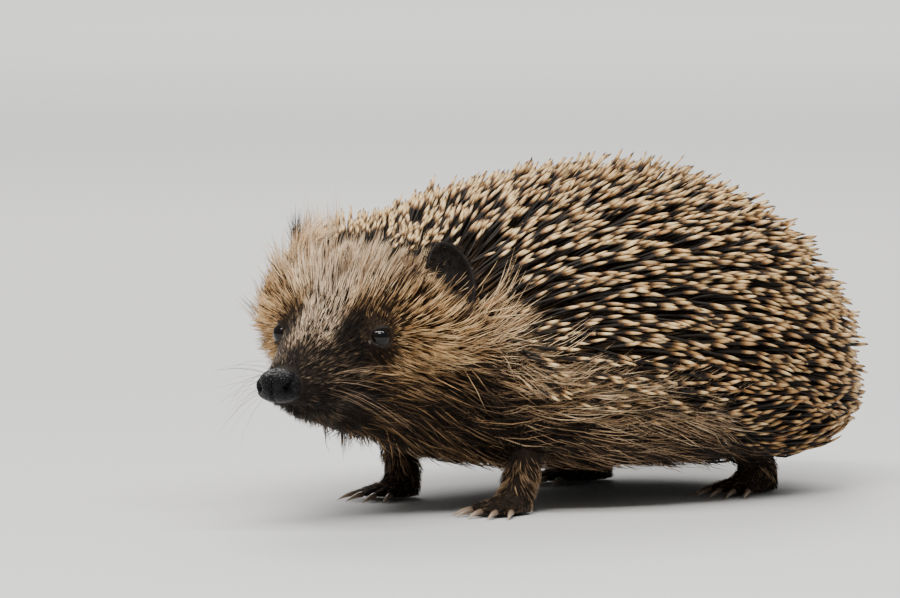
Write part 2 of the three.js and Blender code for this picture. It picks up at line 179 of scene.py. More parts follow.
def relax(values: Array, edges: Array, weights: Array | float, rounds: int) -> Array:
    """Draws each vertex's values towards the mean of its neighbours'.

    Args:
        values: one row for each vertex.
        edges: the pairs of vertices that are neighbours.
        weights: how far each vertex gives way, from 0 to 1.
        rounds: how many times.

    Returns:
        The smoothed values.
    """
    values = values.reshape(len(values), -1).copy()
    count = np.bincount(edges.ravel(), minlength=len(values)).clip(1)
    weights = np.broadcast_to(np.asarray(weights, float), (len(values),))[:, None]
    a, b = edges.T
    for _ in range(rounds):
        mean = np.stack(
            [
                (
                    np.bincount(a, column[b], len(column))
                    + np.bincount(b, column[a], len(column))
                )
                / count
                for column in values.T
            ],
            axis=1,
        )
        values += weights * (mean - values)
    return values


def give_attribute(mesh: bpy.types.Mesh, name: str, values: Array) -> None:
    """Stores one number for each vertex, for the finishes to read."""
    layer = mesh.attributes.new(name, "FLOAT", "POINT")
    layer.data.foreach_set("value", values.astype(np.float32))


def finish_piece(
    piece: bpy.types.Object, material: bpy.types.Material, slot: str, *nodes: str
) -> None:
    """Dresses a piece, fixes it to the body and hides the nodes that it stands for."""
    piece.data.materials.clear()
    piece.data.materials.append(material)
    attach(piece, "root")
    if nodes:
        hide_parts(*nodes)
    log.info("%s: %d faces", piece.name, len(piece.data.polygons))


# ---- The animal's build --------------------------------------------------------------------------


class Side(Enum):
    """The two sides of the animal, with the sign of their places to its left."""

    LEFT = 1
    RIGHT = -1

    @property
    def word(self) -> str:
        """The side's name in a piece's name."""
        return self.name.lower()


class Part(Enum):
    """Kinds of surface that bear different coats."""

    BODY = 0
    HEAD = 1
    NOSE = 2
    EAR = 3
    LEG = 4
    FOOT = 5
    TAIL = 6
    QUILLS = 7
    EYE = 8


PART_OF = {
    "rump": Part.BODY,
    "loins": Part.BODY,
    "shoulders": Part.BODY,
    "neck": Part.HEAD,
    "head": Part.HEAD,
    "snout": Part.HEAD,
    "lower": Part.HEAD,
    "nose": Part.NOSE,
    "ear": Part.EAR,
    "foreleg": Part.LEG,
    "hindleg": Part.LEG,
    "forefoot": Part.FOOT,
    "hindfoot": Part.FOOT,
    "tail": Part.TAIL,
    "mantle": Part.QUILLS,
    "eye": Part.EYE,
}


def nodes_of(*parts: Part) -> list[str]:
    """The frame's nodes of some kinds, in order."""
    return [n for n in sorted(frame["nodes"]) if PART_OF.get(n.split("_")[0]) in parts]


@dataclass(frozen=True)
class Spine:
    """The line that the body is measured along, straight at the trunk and bent at the neck.

    A place on the animal is (along, left, up): along runs forwards from the middle of the trunk.
    """

    origin_x: float = 14.143
    bend_from: float = 32.0
    bend_to: float = 70.0
    turn: float = math.radians(22.0)

    @property
    def radius(self) -> float:
        """The radius of the bend."""
        return (self.bend_to - self.bend_from) / self.turn

    @property
    def bend_end(self) -> Array:
        """Where the bend ends, before the origin is moved."""
        return np.array(
            [
                -self.bend_from - self.radius * math.sin(self.turn),
                -self.radius * (1 - math.cos(self.turn)),
            ]
        )

    def to_body(self, points: Array) -> Array:
        """Turns places in the row frame into (along, left, up).

        Args:
            points: rows of x, y, z in millimetres.

        Returns:
            Rows of along, left, up.
        """
        flat = points[:, :2] - [self.origin_x, 0.0]
        hub = flat - [-self.bend_from, -self.radius]
        turned = np.arctan2(-hub[:, 0], hub[:, 1])
        ahead = flat - self.bend_end
        forward, left = self._ways(self.turn)
        past, before = turned >= self.turn, turned <= 0
        along = np.where(past, self.bend_to + ahead @ forward, self.bend_from + self.radius * turned)
        aside = np.where(past, ahead @ left, self.radius - np.hypot(*hub.T))
        along = np.where(before, -flat[:, 0], along)
        aside = np.where(before, -flat[:, 1], aside)
        return np.stack([along, aside, points[:, 2]], axis=1)

    def to_world(self, body: Array) -> Array:
        """Turns rows of (along, left, up) into places in the row frame."""
        body = np.atleast_2d(np.asarray(body, float))
        forward, left, _ = self.axes(body[:, 0])
        turned = np.clip((body[:, 0] - self.bend_from) / self.radius, 0, self.turn)
        x = -np.minimum(body[:, 0], self.bend_from) - self.radius * np.sin(turned)
        y = -self.radius * (1 - np.cos(turned))
        place = np.stack([x + self.origin_x, y, body[:, 2]], axis=1)
        beyond = np.maximum(body[:, 0] - self.bend_to, 0.0)[:, None]
        return place + forward * beyond + left * body[:, 1:2]

    def axes(self, along: Array) -> tuple[Array, Array, Array]:
        """The ways forwards, left and up at places along the line."""
        turned = np.clip((np.asarray(along) - self.bend_from) / self.radius, 0, self.turn)
        none = np.zeros_like(turned)
        forward = np.stack([-np.cos(turned), -np.sin(turned), none], axis=-1)
        left = np.stack([np.sin(turned), -np.cos(turned), none], axis=-1)
        return forward, left, np.broadcast_to(UP, forward.shape)

    def direct(self, along: Array, ways: Array) -> Array:
        """Turns rows of (forwards, left, up) into directions in the row frame."""
        forward, left, up = self.axes(along)
        return forward * ways[:, :1] + left * ways[:, 1:2] + up * ways[:, 2:]

    @staticmethod
    def _ways(turned: float) -> tuple[Array, Array]:
        """Forwards and left, seen from above, after a turn."""
        forward = np.array([-math.cos(turned), -math.sin(turned)])
        return forward, np.array([math.sin(turned), -math.cos(turned)])


@dataclass(frozen=True)
class Build:
    """Places that the skin, the coat and the markings share, as (along, left, up)."""

    nose: tuple[float, float, float] = (118.0, 0.0, 36.7)
    eye: tuple[float, float, float] = (88.0, 12.6, 46.2)
    eye_radius: float = 3.0
    eye_looks: tuple[float, float, float] = (0.60, 0.78, 0.16)
    ear: tuple[float, float, float] = (65.0, 21.7, 58.3)
    crest: tuple[float, float] = (62.3, 79.5)  # lowest and foremost roots of the crown quills
    legs: tuple[float, float, float] = (33.0, -42.0, 25.5)  # along at the front and back, and left
    mouth_corner: tuple[float, float] = (89.0, 30.5)
    mouth_tip: tuple[float, float] = (117.5, 30.6)
    fringe_along: tuple[float, ...] = (-95, -80, -64, -50, -36, -16, 8, 32, 48, 55, 59, 64, 72, 90)
    fringe_up: tuple[float, ...] = (21, 18, 12.5, 10.5, 13, 21, 28, 34, 38, 44.5, 53, 62, 68.5, 70)

    def above_fringe(self, body: Array) -> Array:
        """How far above the lower edge of the quills a place is."""
        return body[:, 2] - np.interp(body[:, 0], self.fringe_along, self.fringe_up)

    def above_roots(self, body: Array) -> Array:
        """The same for roots, which start lower than the outline at the crown."""
        up, along = self.crest
        above = self.above_fringe(body)
        aside = np.maximum(np.abs(body[:, 1]) - 5.0, 0.0)
        crown = np.minimum(body[:, 2] - up + 0.30 * aside, along - 0.35 * aside - body[:, 0])
        return np.where(body[:, 0] > 58.0, np.maximum(above, crown), above)

    def near_leg(self, body: Array) -> Array:
        """How near each place is to the top of a leg, from 0 to 1."""
        aside = np.abs(body[:, 1]) - self.legs[2]
        gaps = [np.hypot(body[:, 0] - along, aside) for along in self.legs[:2]]
        return 1 - smoothstep(np.minimum(*gaps), 8.0, 15.0)

    def from_eye(self, body: Array) -> Array:
        """The distance to the nearer eye."""
        mirrored = np.stack([body[:, 0], np.abs(body[:, 1]), body[:, 2]], axis=1)
        return np.linalg.norm(mirrored - self.eye, axis=1)

    def from_ear(self, body: Array) -> Array:
        """The distance to the middle of the nearer ear."""
        mirrored = np.stack([body[:, 0], np.abs(body[:, 1]), body[:, 2]], axis=1)
        return np.linalg.norm(mirrored - self.ear, axis=1)


SPINE = Spine()
BUILD = Build()


class Outline:
    """The frame's surface, which says how deep the coat is and what part a place belongs to."""

    def __init__(self) -> None:
        """Reads the frame's nodes, without the ears, eyes and claws."""
        self._rays = self._tree(
            nodes_of(Part.BODY, Part.HEAD, Part.NOSE, Part.LEG, Part.FOOT, Part.TAIL, Part.QUILLS)
        )[0]
        self._skin, self._owners = self._tree(
            nodes_of(Part.BODY, Part.HEAD, Part.NOSE, Part.LEG, Part.FOOT, Part.TAIL)
        )

    @staticmethod
    def _tree(names: list[str]) -> tuple[BVHTree, list[Part]]:
        """Puts nodes in one search tree, with the part that each face belongs to."""
        corners, faces, owners = [], [], []
        for name in names:
            mesh = frame["nodes"][name].data
            start = len(corners)
            corners += [v.co / MM for v in mesh.vertices]
            faces += [[start + i for i in p.vertices] for p in mesh.polygons]
            owners += [PART_OF[name.split("_")[0]]] * len(mesh.polygons)
        return BVHTree.FromPolygons(corners, faces), owners

    def parts(self, points: Array) -> Array:
        """The number of the part that each place is nearest to."""
        return np.array([self._owners[self._skin.find_nearest(p)[2]].value for p in points])

    def depth(self, points: Array, normals: Array, most: float = 22.0) -> Array:
        """How far it is along each normal to the outside of the frame.

        Args:
            points: places inside the frame.
            normals: the way out at each.
            most: where the search ends.

        Returns:
            One distance for each place.
        """
        found = np.zeros(len(points))
        step = 0.02
        for i, (point, normal) in enumerate(zip(points, normals, strict=True)):
            start, way, gone = Vector(point), Vector(normal), 0.0
            for _ in range(6):
                hit, face_normal, _, distance = self._rays.ray_cast(start, way, most - gone)
                if hit is None:
                    break
                leaving = face_normal.dot(way) > 0
                if not leaving and found[i] > 0 and distance > 0.9:
                    break
                gone += distance + step
                if leaving:
                    found[i] = gone
                start = hit + way * step
        return found


class Markings:
    """The coat's pattern, the same for the skin and for what grows from it, with painted shade low on the body
    and at the foot of each ear.

    Tone runs from 0, nearly black, to 1, cream. Warmth runs from 0, grey, to 1, golden tan.
    """

    def mask(self, body: Array) -> Array:
        """How far each place lies in the dark mask round the eyes."""
        along, left, up = body.T
        side = np.abs(left)
        spots = (
            (91.2, 11.6, 44.6, 4.4, 8.6),
            (94.5, 7.6, 46.4, 3.0, 7.0),
            (90.5, 8.6, 48.8, 1.6, 5.6),
        )
        found = np.zeros(len(body))
        for x, y, z, core, edge in spots:
            gap = np.linalg.norm(np.stack([along - x, side - y, up - z], axis=1), axis=1)
            found = np.maximum(found, 1.0 - smoothstep(gap, core, edge))
        return found

    def bridge(self, body: Array) -> Array:
        """How far each place lies on the grey-flecked bridge of the nose."""
        along, left, up = body.T
        bridge = smoothstep(along, 82.0, 88.0) * (1 - 0.8 * smoothstep(along, 98.0, 109.0))
        return bridge * (1 - smoothstep(np.abs(left), 3.4, 7.2)) * smoothstep(up, 40.0, 45.0)

    def brow(self, body: Array) -> Array:
        """How far each place lies on the pale forehead."""
        along, left, up = body.T
        brow = smoothstep(up, 51.0, 58.0) * smoothstep(along, 62.0, 72.0)
        return brow * (1 - 0.6 * smoothstep(left, 10.0, 17.0))

    def gold(self, body: Array) -> Array:
        """How far each place lies in the golden patch behind an eye."""
        offset = np.stack([body[:, 0] - 80.0, np.abs(body[:, 1]) - 19.0, body[:, 2] - 46.5], axis=1)
        return 1 - smoothstep(np.linalg.norm(offset, axis=1), 5.0, 11.0)

    def temple(self, body: Array) -> Array:
        """How far each place lies in the browner fur between an eye and its ear."""
        offset = np.stack([body[:, 0] - 83.0, body[:, 1] - 16.0, body[:, 2] - 55.5], axis=1)
        return 1 - smoothstep(np.linalg.norm(offset, axis=1), 4.0, 10.0)

    def ear_shade(self, body: Array) -> Array:
        """How far each place lies in the painted shade at the foot of an ear."""
        offset = np.stack([body[:, 0] - 71.0, np.abs(body[:, 1]) - 25.0, body[:, 2] - 54.0], axis=1)
        return 1 - smoothstep(np.linalg.norm(offset, axis=1), 4.0, 9.0)

    def lit(self, body: Array) -> Array:
        """How far each place lies above the painted shade low on the throat and the belly."""
        along, _, up = body.T
        low = np.interp(along, [10, 40, 50, 62, 76], [15.0, 21.0, 27.0, 36.0, 30.0])
        return smoothstep(up, low, low + 12.0)

    def pale_share(self, body: Array) -> Array:
        """The share of hairs that are long pale ones over the blackish undercoat."""
        along, _, up = body.T
        share = np.interp(along, [-80, 0, 50, 66, 84, 94, 110], [0.34, 0.46, 0.60, 0.50, 0.42, 0.26, 0.16])
        # Painted shade: fewer pale hairs low on the throat, belly and flanks.
        share = share * (0.20 + 0.80 * np.maximum(self.lit(body), smoothstep(along, 92, 98)))
        share = share + 0.22 * self.brow(body)
        chin = smoothstep(along, 92.0, 99.0) * (1 - smoothstep(up, 25.0, 28.5))
        share = share + chin * (0.34 - share)
        share = share + 0.16 * self.gold(body) - 0.17 * self.temple(body)
        # Painted shade: fewer pale hairs at the foot of each ear.
        share = share * (1 - 0.75 * self.ear_shade(body))
        share = share + self.mask(body) * (0.10 - share)
        share = share + self.bridge(body) * (0.42 - share)
        return np.where(up < 14.0, np.maximum(share, 0.3 * BUILD.near_leg(body)), share)

    def fur(self, points: Array, body: Array, part: Array) -> tuple[Array, Array]:
        """The tone and warmth of the long hairs. The undercoat's tone is a share of it.

        Args:
            points: places in the row frame, in millimetres.
            body: the same places as (along, left, up).
            part: the part of each place, by number.

        Returns:
            Tone and warmth, one each for each place.
        """
        along, left, up = body.T
        side = np.abs(left)
        tone = np.interp(along, [-80, -40, 0, 45, 62, 74, 88], [0.60, 0.71, 0.80, 0.87, 0.85, 0.79, 0.75])
        warmth = np.interp(along, [-80, 0, 50, 66, 84], [0.30, 0.40, 0.50, 0.75, 0.90])
        # Painted shade: the fur is darker low on the throat, belly and flanks, most of all at the neck.
        dark = 0.38 + 0.08 * smoothstep(along, 50, 66)
        tone = tone * (1 - dark + dark * self.lit(body))
        # The forehead is cream and greyish between golden cheeks.
        brow = self.brow(body)
        tone = tone + brow * (0.86 - tone)
        warmth = warmth + brow * (0.26 + 0.34 * smoothstep(side, 8, 20) - warmth)
        tone = tone - 0.17 * self.temple(body)
        gold = self.gold(body)
        tone = tone + gold * (0.84 - tone)
        warmth = warmth + gold * (1.0 - warmth)
        # Painted shade darkens the fur at the foot of each ear.
        tone = tone * (1 - 0.7 * self.ear_shade(body))
        # The muzzle is grey and dark, darkest along the jaw, and the chin is tan.
        muzzle = smoothstep(along, 90.0, 97.0)
        tone = tone + muzzle * (0.42 - tone)
        warmth = warmth + muzzle * (0.10 - warmth)
        jaw = smoothstep(along, 78.0, 88.0) * (1 - smoothstep(up, 33.0, 38.0))
        tone = tone + jaw * (0.25 - tone)
        chin = smoothstep(along, 92.0, 99.0) * (1 - smoothstep(up, 25.0, 28.5))
        tone = tone + chin * (0.50 - tone)
        warmth = warmth + chin * (0.6 - warmth)
        mask = self.mask(body)
        tone = tone + mask * (0.32 - tone)
        bridge = self.bridge(body)
        tone = tone + bridge * (0.86 - tone)
        warmth = warmth * (1 - 0.85 * bridge)
        # Dark ears, legs, feet and tail.
        for kind, value in ((Part.EAR, 0.10), (Part.LEG, 0.56), (Part.FOOT, 0.52), (Part.TAIL, 0.42)):
            tone = np.where(part == kind.value, value, tone)
        warmth = np.where(np.isin(part, [Part.EAR.value, Part.FOOT.value]), 0.4, warmth)
        tone = tone + 0.07 * waves(points, 9.0, 5) * smoothstep(tone, 0.1, 0.4)
        return np.clip(tone, 0.0, 1.0), np.clip(warmth, 0.0, 1.0)

    @staticmethod
    def undercoat(tone: Array) -> Array:
        """The undercoat's tone under long hairs of some tones."""
        return np.minimum(0.24 * tone, 0.14)

    def quills(self, points: Array, body: Array) -> tuple[Array, Array]:
        """The tone and warmth of the quills: paler at the crown, browner at the rump."""
        along = body[:, 0]
        tone = np.interp(along, [-80, -50, 0, 60, 75], [0.52, 0.66, 0.80, 0.90, 0.98])
        low = (1 - smoothstep(body[:, 0], 5, 40)) * (1 - smoothstep(BUILD.above_fringe(body), 8.0, 32.0))
        tone = tone - 0.10 - 0.42 * low
        tone = tone + 0.08 * waves(points, 30.0, 9)
        warmth = np.interp(along, [-80, 0, 75], [0.6, 0.45, 0.3])
        return np.clip(tone, 0.0, 1.0), np.clip(warmth, 0.0, 1.0)


class SkinMap:
    """A flat layout of the skin: the body is unrolled about the spine, limbs and ears have cells."""

    CELLS = 6
    STRIP = 0.2

    def place(self, body: Array, part: Array) -> Array:
        """Where places on the animal lie on the layout.

        Args:
            body: rows of (along, left, up).
            part: the part of each, by number.

        Returns:
            Rows of u and v, from 0 to 1.
        """
        along, left, up = body.T
        around = np.arctan2(left, up - 30.0) / (2 * math.pi) + 0.5
        u = 0.01 + 0.98 * np.clip((along + 84.0) / 208.0, 0, 1)
        v = self.STRIP + 0.02 + (0.96 - self.STRIP) * around
        limb = np.isin(part, [Part.LEG.value, Part.FOOT.value])
        ear = part == Part.EAR.value
        cell = np.where(ear, 4, 2 * (along < 0)) + (left < 0)
        middle = np.where(ear, BUILD.ear[0], np.where(along < 0, -42.0, 33.0))
        out = np.where(ear, BUILD.ear[1], 25.5)
        turn = np.arctan2(along - middle, np.abs(left) - out) / (2 * math.pi) + 0.5
        height = np.where(ear, np.clip((up - 46) / 24, 0, 1), np.clip(up / 26, 0, 1))
        u = np.where(limb | ear, (cell + 0.05 + 0.9 * turn) / self.CELLS, u)
        v = np.where(limb | ear, 0.01 + (self.STRIP - 0.03) * height, v)
        return np.stack([u, v], axis=1)


MARKINGS = Markings()
SKIN_MAP = SkinMap()


# ---- Finishes ------------------------------------------------------------------------------------


class NodeDesk:
    """A material being laid out, with short ways to add and join its nodes."""

    def __init__(self, name: str) -> None:
        """Starts an empty material with a Principled shader."""
        self.material = bpy.data.materials.new(name)
        self.material.use_nodes = True
        self.tree = self.material.node_tree
        self.shader = self.tree.nodes["Principled BSDF"]

    def add(self, kind: str, **settings: object) -> bpy.types.Node:
        """Adds a node, and sets its properties or its inputs by name."""
        node = self.tree.nodes.new(kind)
        for name, value in settings.items():
            if hasattr(node, name):
                setattr(node, name, value)
            else:
                node.inputs[name.replace("_", " ").title()].default_value = value
        return node

    def join(self, out: bpy.types.NodeSocket, into: bpy.types.NodeSocket) -> None:
        """Links two sockets."""
        self.tree.links.new(out, into)

    def attribute(self, name: str) -> bpy.types.NodeSocket:
        """The number that a mesh stores under a name."""
        return self.add("ShaderNodeAttribute", attribute_name=name).outputs["Fac"]

    def ramp(self, factor: bpy.types.NodeSocket, stops: list[tuple[float, tuple]]) -> bpy.types.NodeSocket:
        """A colour for each value of a factor."""
        node = self.add("ShaderNodeValToRGB")
        elements = node.color_ramp.elements
        while len(elements) < len(stops):
            elements.new(0.5)
        for element, (position, colour) in zip(elements, stops, strict=True):
            element.position = position
            element.color = (*colour, 1.0)
        self.join(factor, node.inputs["Fac"])
        return node.outputs["Color"]

    def math(self, operation: str, a: object, b: object = 0.0) -> bpy.types.NodeSocket:
        """A sum of two numbers, either of which can be a socket."""
        node = self.add("ShaderNodeMath", operation=operation)
        for socket, value in zip(node.inputs, (a, b), strict=False):
            if isinstance(value, bpy.types.NodeSocket):
                self.join(value, socket)
            else:
                socket.default_value = value
        return node.outputs["Value"]

    def mix(self, factor: object, a: object, b: object, blend: str = "MIX") -> bpy.types.NodeSocket:
        """Two colours mixed by a factor."""
        node = self.add("ShaderNodeMix", data_type="RGBA", blend_type=blend)
        for index, value in ((0, factor), (6, a), (7, b)):
            if isinstance(value, bpy.types.NodeSocket):
                self.join(value, node.inputs[index])
            else:
                node.inputs[index].default_value = (*value, 1.0) if index else value
        return node.outputs[2]

    def object_space(self, scale: tuple[float, float, float] = (1, 1, 1)) -> bpy.types.NodeSocket:
        """Places on the object, scaled."""
        mapping = self.add("ShaderNodeMapping")
        mapping.inputs["Scale"].default_value = scale
        self.join(self.add("ShaderNodeTexCoord").outputs["Object"], mapping.inputs["Vector"])
        return mapping.outputs["Vector"]

    def noise(self, scale: float, detail: float = 3.0) -> bpy.types.NodeSocket:
        """Noise over the object, with its scale in swells a metre."""
        node = self.add("ShaderNodeTexNoise")
        node.inputs["Scale"].default_value = scale
        node.inputs["Detail"].default_value = detail
        self.join(self.object_space(), node.inputs["Vector"])
        return node.outputs["Fac"]

    def bump(self, height: bpy.types.NodeSocket, depth: float, strength: float = 1.0) -> None:
        """Raises the surface by a height, in metres at a height of 1."""
        node = self.add("ShaderNodeBump")
        node.inputs["Strength"].default_value = strength
        node.inputs["Distance"].default_value = depth
        self.join(height, node.inputs["Height"])
        self.join(node.outputs["Normal"], self.shader.inputs["Normal"])

    def dress(self, colour: object = None, roughness: object = 0.5, **sockets: float) -> None:
        """Sets the shader's colour, roughness and other sockets."""
        for name, value in (("Base Color", colour), ("Roughness", roughness)):
            if isinstance(value, bpy.types.NodeSocket):
                self.join(value, self.shader.inputs[name])
            elif value is not None:
                self.shader.inputs[name].default_value = value
        for name, value in sockets.items():
            self.shader.inputs[name.replace("_", " ")].default_value = value


@dataclass(frozen=True)
class PeltColours:
    """Colours of the coat by tone, from nearly black to cream, in a grey and a golden family."""

    grey: tuple = (
        (0.0, (0.005, 0.004, 0.0035)),
        (0.22, (0.030, 0.022, 0.016)),
        (0.45, (0.155, 0.108, 0.070)),
        (0.72, (0.580, 0.405, 0.260)),
        (1.0, (0.960, 0.765, 0.540)),
    )
    golden: tuple = (
        (0.0, (0.007, 0.0045, 0.003)),
        (0.22, (0.042, 0.023, 0.011)),
        (0.45, (0.200, 0.108, 0.044)),
        (0.72, (0.650, 0.370, 0.150)),
        (1.0, (0.980, 0.680, 0.350)),
    )

    def by_tone(self, desk: NodeDesk, tone: bpy.types.NodeSocket) -> bpy.types.NodeSocket:
        """The coat's colour at a tone and at the mesh's own warmth."""
        grey = desk.ramp(tone, list(self.grey))
        golden = desk.ramp(tone, list(self.golden))
        return desk.mix(desk.attribute("warmth"), grey, golden)


PELT = PeltColours()


@dataclass(frozen=True)
class FurFinish:
    """Hair that is dark at the root and takes its marking's colour towards the tip."""

    name: str = "fur"
    root_tone: float = 0.34
    roughness: float = 0.52

    def make(self) -> bpy.types.Material:
        """Lays the material out."""
        desk = NodeDesk(self.name)
        along = desk.attribute("along")
        tone = desk.attribute("tone")
        chance = desk.attribute("chance")
        shift = desk.math("ADD", desk.math("MULTIPLY", chance, 0.5), 0.75)
        tip_tone = desk.math("MULTIPLY", tone, shift)
        root_tone = desk.math("MULTIPLY", tone, self.root_tone)
        rise = desk.ramp(along, [(0.05, (0, 0, 0)), (0.40, (1, 1, 1))])
        share = desk.add("ShaderNodeMix", data_type="FLOAT")
        desk.join(rise, share.inputs[0])
        desk.join(root_tone, share.inputs[2])
        desk.join(tip_tone, share.inputs[3])
        colour = PELT.by_tone(desk, share.outputs[0])
        streak = desk.ramp(desk.noise(900.0, 2.0), [(0.3, (0.82, 0.82, 0.82)), (0.7, (1.1, 1.1, 1.1))])
        colour = desk.mix(1.0, colour, streak, "MULTIPLY")
        rough = desk.math("ADD", desk.math("MULTIPLY", chance, 0.16), self.roughness - 0.08)
        desk.dress(colour, rough, Specular_IOR_Level=0.2)
        return desk.material


@dataclass(frozen=True)
class QuillFinish:
    """Horn in bands: a shaft kept dim as painted shade among the quills, a blackish band and a cream tip."""

    name: str = "quills"

    def make(self) -> bpy.types.Material:
        """Lays the material out."""
        desk = NodeDesk(self.name)
        chance = desk.attribute("chance")
        wobble = desk.math("MULTIPLY", desk.math("SUBTRACT", chance, 0.5), 0.06)
        along = desk.math("ADD", desk.attribute("along"), wobble)
        bands = desk.ramp(
            along,
            [
                # The shaft, below the blackish band, is dimmed: painted shade deep among the quills.
                (0.00, (0.04, 0.027, 0.018)),
                (0.22, (0.12, 0.08, 0.045)),
                (0.36, (0.03, 0.02, 0.013)),
                (0.46, (0.015, 0.011, 0.008)),
                (0.765, (0.015, 0.011, 0.008)),
                (0.815, (0.28, 0.165, 0.085)),
                (0.848, (0.80, 0.57, 0.30)),
                (0.892, (1.00, 0.83, 0.53)),
                (0.935, (0.80, 0.57, 0.30)),
                (0.965, (0.20, 0.12, 0.06)),
                (1.00, (0.04, 0.028, 0.02)),
            ],
        )
        dull = desk.ramp(desk.attribute("tone"), [(0.0, (0.34, 0.25, 0.16)), (1.0, (1.0, 0.98, 0.93))])
        colour = desk.mix(1.0, bands, dull, "MULTIPLY")
        tan = desk.mix(desk.math("MULTIPLY", desk.attribute("warmth"), 0.70), (1, 1, 1), (1.0, 0.80, 0.56))
        colour = desk.mix(1.0, colour, tan, "MULTIPLY")
        rough = desk.ramp(desk.noise(2500.0, 2.0), [(0.35, (0.42,) * 3), (0.7, (0.58,) * 3)])
        desk.dress(colour, rough, Specular_IOR_Level=0.22)
        desk.bump(desk.noise(3500.0, 2.0), 0.00004, 0.5)
        return desk.material


@dataclass(frozen=True)
class SkinFinish:
    """Skin with a short nap of underfur in the coat's own markings."""

    name: str = "skin"

    def make(self) -> bpy.types.Material:
        """Lays the material out."""
        desk = NodeDesk(self.name)
        colour = PELT.by_tone(desk, desk.attribute("tone"))
        mottle = desk.ramp(desk.noise(420.0, 4.0), [(0.35, (0.7, 0.7, 0.7)), (0.65, (1.15, 1.12, 1.08))])
        colour = desk.mix(1.0, colour, mottle, "MULTIPLY")
        bare = desk.attribute("bare")
        hide = desk.ramp(desk.noise(700.0, 3.0), [(0.3, (0.013, 0.011, 0.010)), (0.7, (0.036, 0.029, 0.026))])
        colour = desk.mix(bare, colour, hide)
        tear = desk.attribute("tear")
        # The inner corners: their own pink, painted paler as a highlight on their wetness.
        colour = desk.mix(tear, colour, (0.36, 0.30, 0.28))
        rough = desk.math("SUBTRACT", 0.88, desk.math("MULTIPLY", bare, 0.30))
        rough = desk.math("SUBTRACT", rough, desk.math("MULTIPLY", tear, 0.4))
        desk.dress(colour, rough, Specular_IOR_Level=0.2)
        nap = desk.math("ADD", desk.noise(2600.0, 2.0), desk.math("MULTIPLY", desk.noise(900.0, 2.0), 0.6))
        desk.bump(nap, 0.00025, 0.6)
        return desk.material


@dataclass(frozen=True)
class NoseFinish:
    """Moist black leather with a fine grain."""

    name: str = "nose"

    def make(self) -> bpy.types.Material:
        """Lays the material out."""
        desk = NodeDesk(self.name)
        cells = desk.add("ShaderNodeTexVoronoi", feature="DISTANCE_TO_EDGE")
        cells.inputs["Scale"].default_value = 1500.0
        desk.join(desk.object_space(), cells.inputs["Vector"])
        grain = desk.ramp(cells.outputs["Distance"], [(0.0, (0, 0, 0)), (0.22, (1, 1, 1))])
        tint = desk.ramp(desk.noise(500.0), [(0.3, (0.003, 0.003, 0.0035)), (0.75, (0.010, 0.009, 0.010))])
        rough = desk.ramp(desk.noise(800.0), [(0.3, (0.24,) * 3), (0.7, (0.40,) * 3)])
        desk.dress(tint, rough, Specular_IOR_Level=0.14)
        desk.bump(grain, 0.00030, 1.0)
        return desk.material


@dataclass(frozen=True)
class EyeFinish:
    """A dark wet eye, with a deep brown iris round the pupil."""

    name: str = "eye"

    def make(self) -> bpy.types.Material:
        """Lays the material out."""
        desk = NodeDesk(self.name)
        ring = desk.attribute("ring")
        streak = desk.math("MULTIPLY", desk.math("SUBTRACT", desk.noise(1500.0), 0.5), 0.08)
        colour = desk.ramp(
            desk.math("ADD", ring, streak),
            [
                (0.0, (0.002, 0.002, 0.002)),
                (0.34, (0.002, 0.002, 0.002)),
                (0.42, (0.006, 0.003, 0.002)),
                (0.62, (0.005, 0.003, 0.002)),
                (0.72, (0.003, 0.002, 0.002)),
                (1.0, (0.05, 0.03, 0.025)),
            ],
        )
        rough = desk.math("ADD", 0.03, desk.math("MULTIPLY", desk.noise(600.0), 0.03))
        desk.dress(colour, rough, Specular_IOR_Level=0.32)
        return desk.material


@dataclass(frozen=True)
class ClawFinish:
    """Pale brown horn, darker at the root, with lengthwise streaks."""

    name: str = "claw"

    def make(self) -> bpy.types.Material:
        """Lays the material out."""
        desk = NodeDesk(self.name)
        along = desk.math("ADD", desk.attribute("along"), desk.math("MULTIPLY", desk.noise(900.0), 0.2))
        colour = desk.ramp(
            along, [(0.0, (0.07, 0.045, 0.03)), (0.5, (0.23, 0.16, 0.11)), (1.1 / 1.2, (0.46, 0.37, 0.27))]
        )
        rough = desk.ramp(desk.noise(1800.0), [(0.3, (0.28,) * 3), (0.7, (0.45,) * 3)])
        desk.dress(colour, rough, Specular_IOR_Level=0.45)
        desk.bump(desk.noise(2400.0), 0.00005, 0.6)
        return desk.material


@dataclass(frozen=True)
class FloorFinish:
    """A pale matt studio floor, palest far from the middle, where less light falls."""

    name: str = "floor"
    edge: float = 3.5  # metres from the middle to where it is palest

    def make(self) -> bpy.types.Material:
        """Lays the material out."""
        desk = NodeDesk(self.name)
        out = desk.add("ShaderNodeVectorMath", operation="LENGTH")
        desk.join(desk.object_space(), out.inputs[0])
        spread = desk.math("MULTIPLY", out.outputs["Value"], 1 / self.edge)
        tint = desk.ramp(spread, [(0.1, (0.72, 0.715, 0.70)), (1.0, (0.90, 0.895, 0.88))])
        desk.dress(tint, 0.7, Specular_IOR_Level=0.2)
        return desk.material


# ---- The skin ------------------------------------------------------------------------------------


def claw_lie(node: str) -> tuple[Array, Array]:
    """Finds how a claw's node lies.

    Args:
        node: the node's name.

    Returns:
        Where it starts, and the level way that it points.
    """
    mesh = np.array([v.co for v in frame["nodes"][node].data.vertices]) / MM
    middle = mesh.mean(axis=0)
    point = np.linalg.svd(mesh - middle, full_matrices=False)[2][0]
    spread = (mesh - middle) @ point
    sixth = np.ptp(spread) / 6
    low, high = spread < spread.min() + sixth, spread > spread.max() - sixth
    if np.linalg.norm(mesh[high].std(axis=0)) > np.linalg.norm(mesh[low].std(axis=0)):
        point, spread, low = -point, -spread, high
    level = unit(point * [1, 1, 0])
    start = middle + level * spread.min()
    start[2] = mesh[low][:, 2].mean()
    return start, level


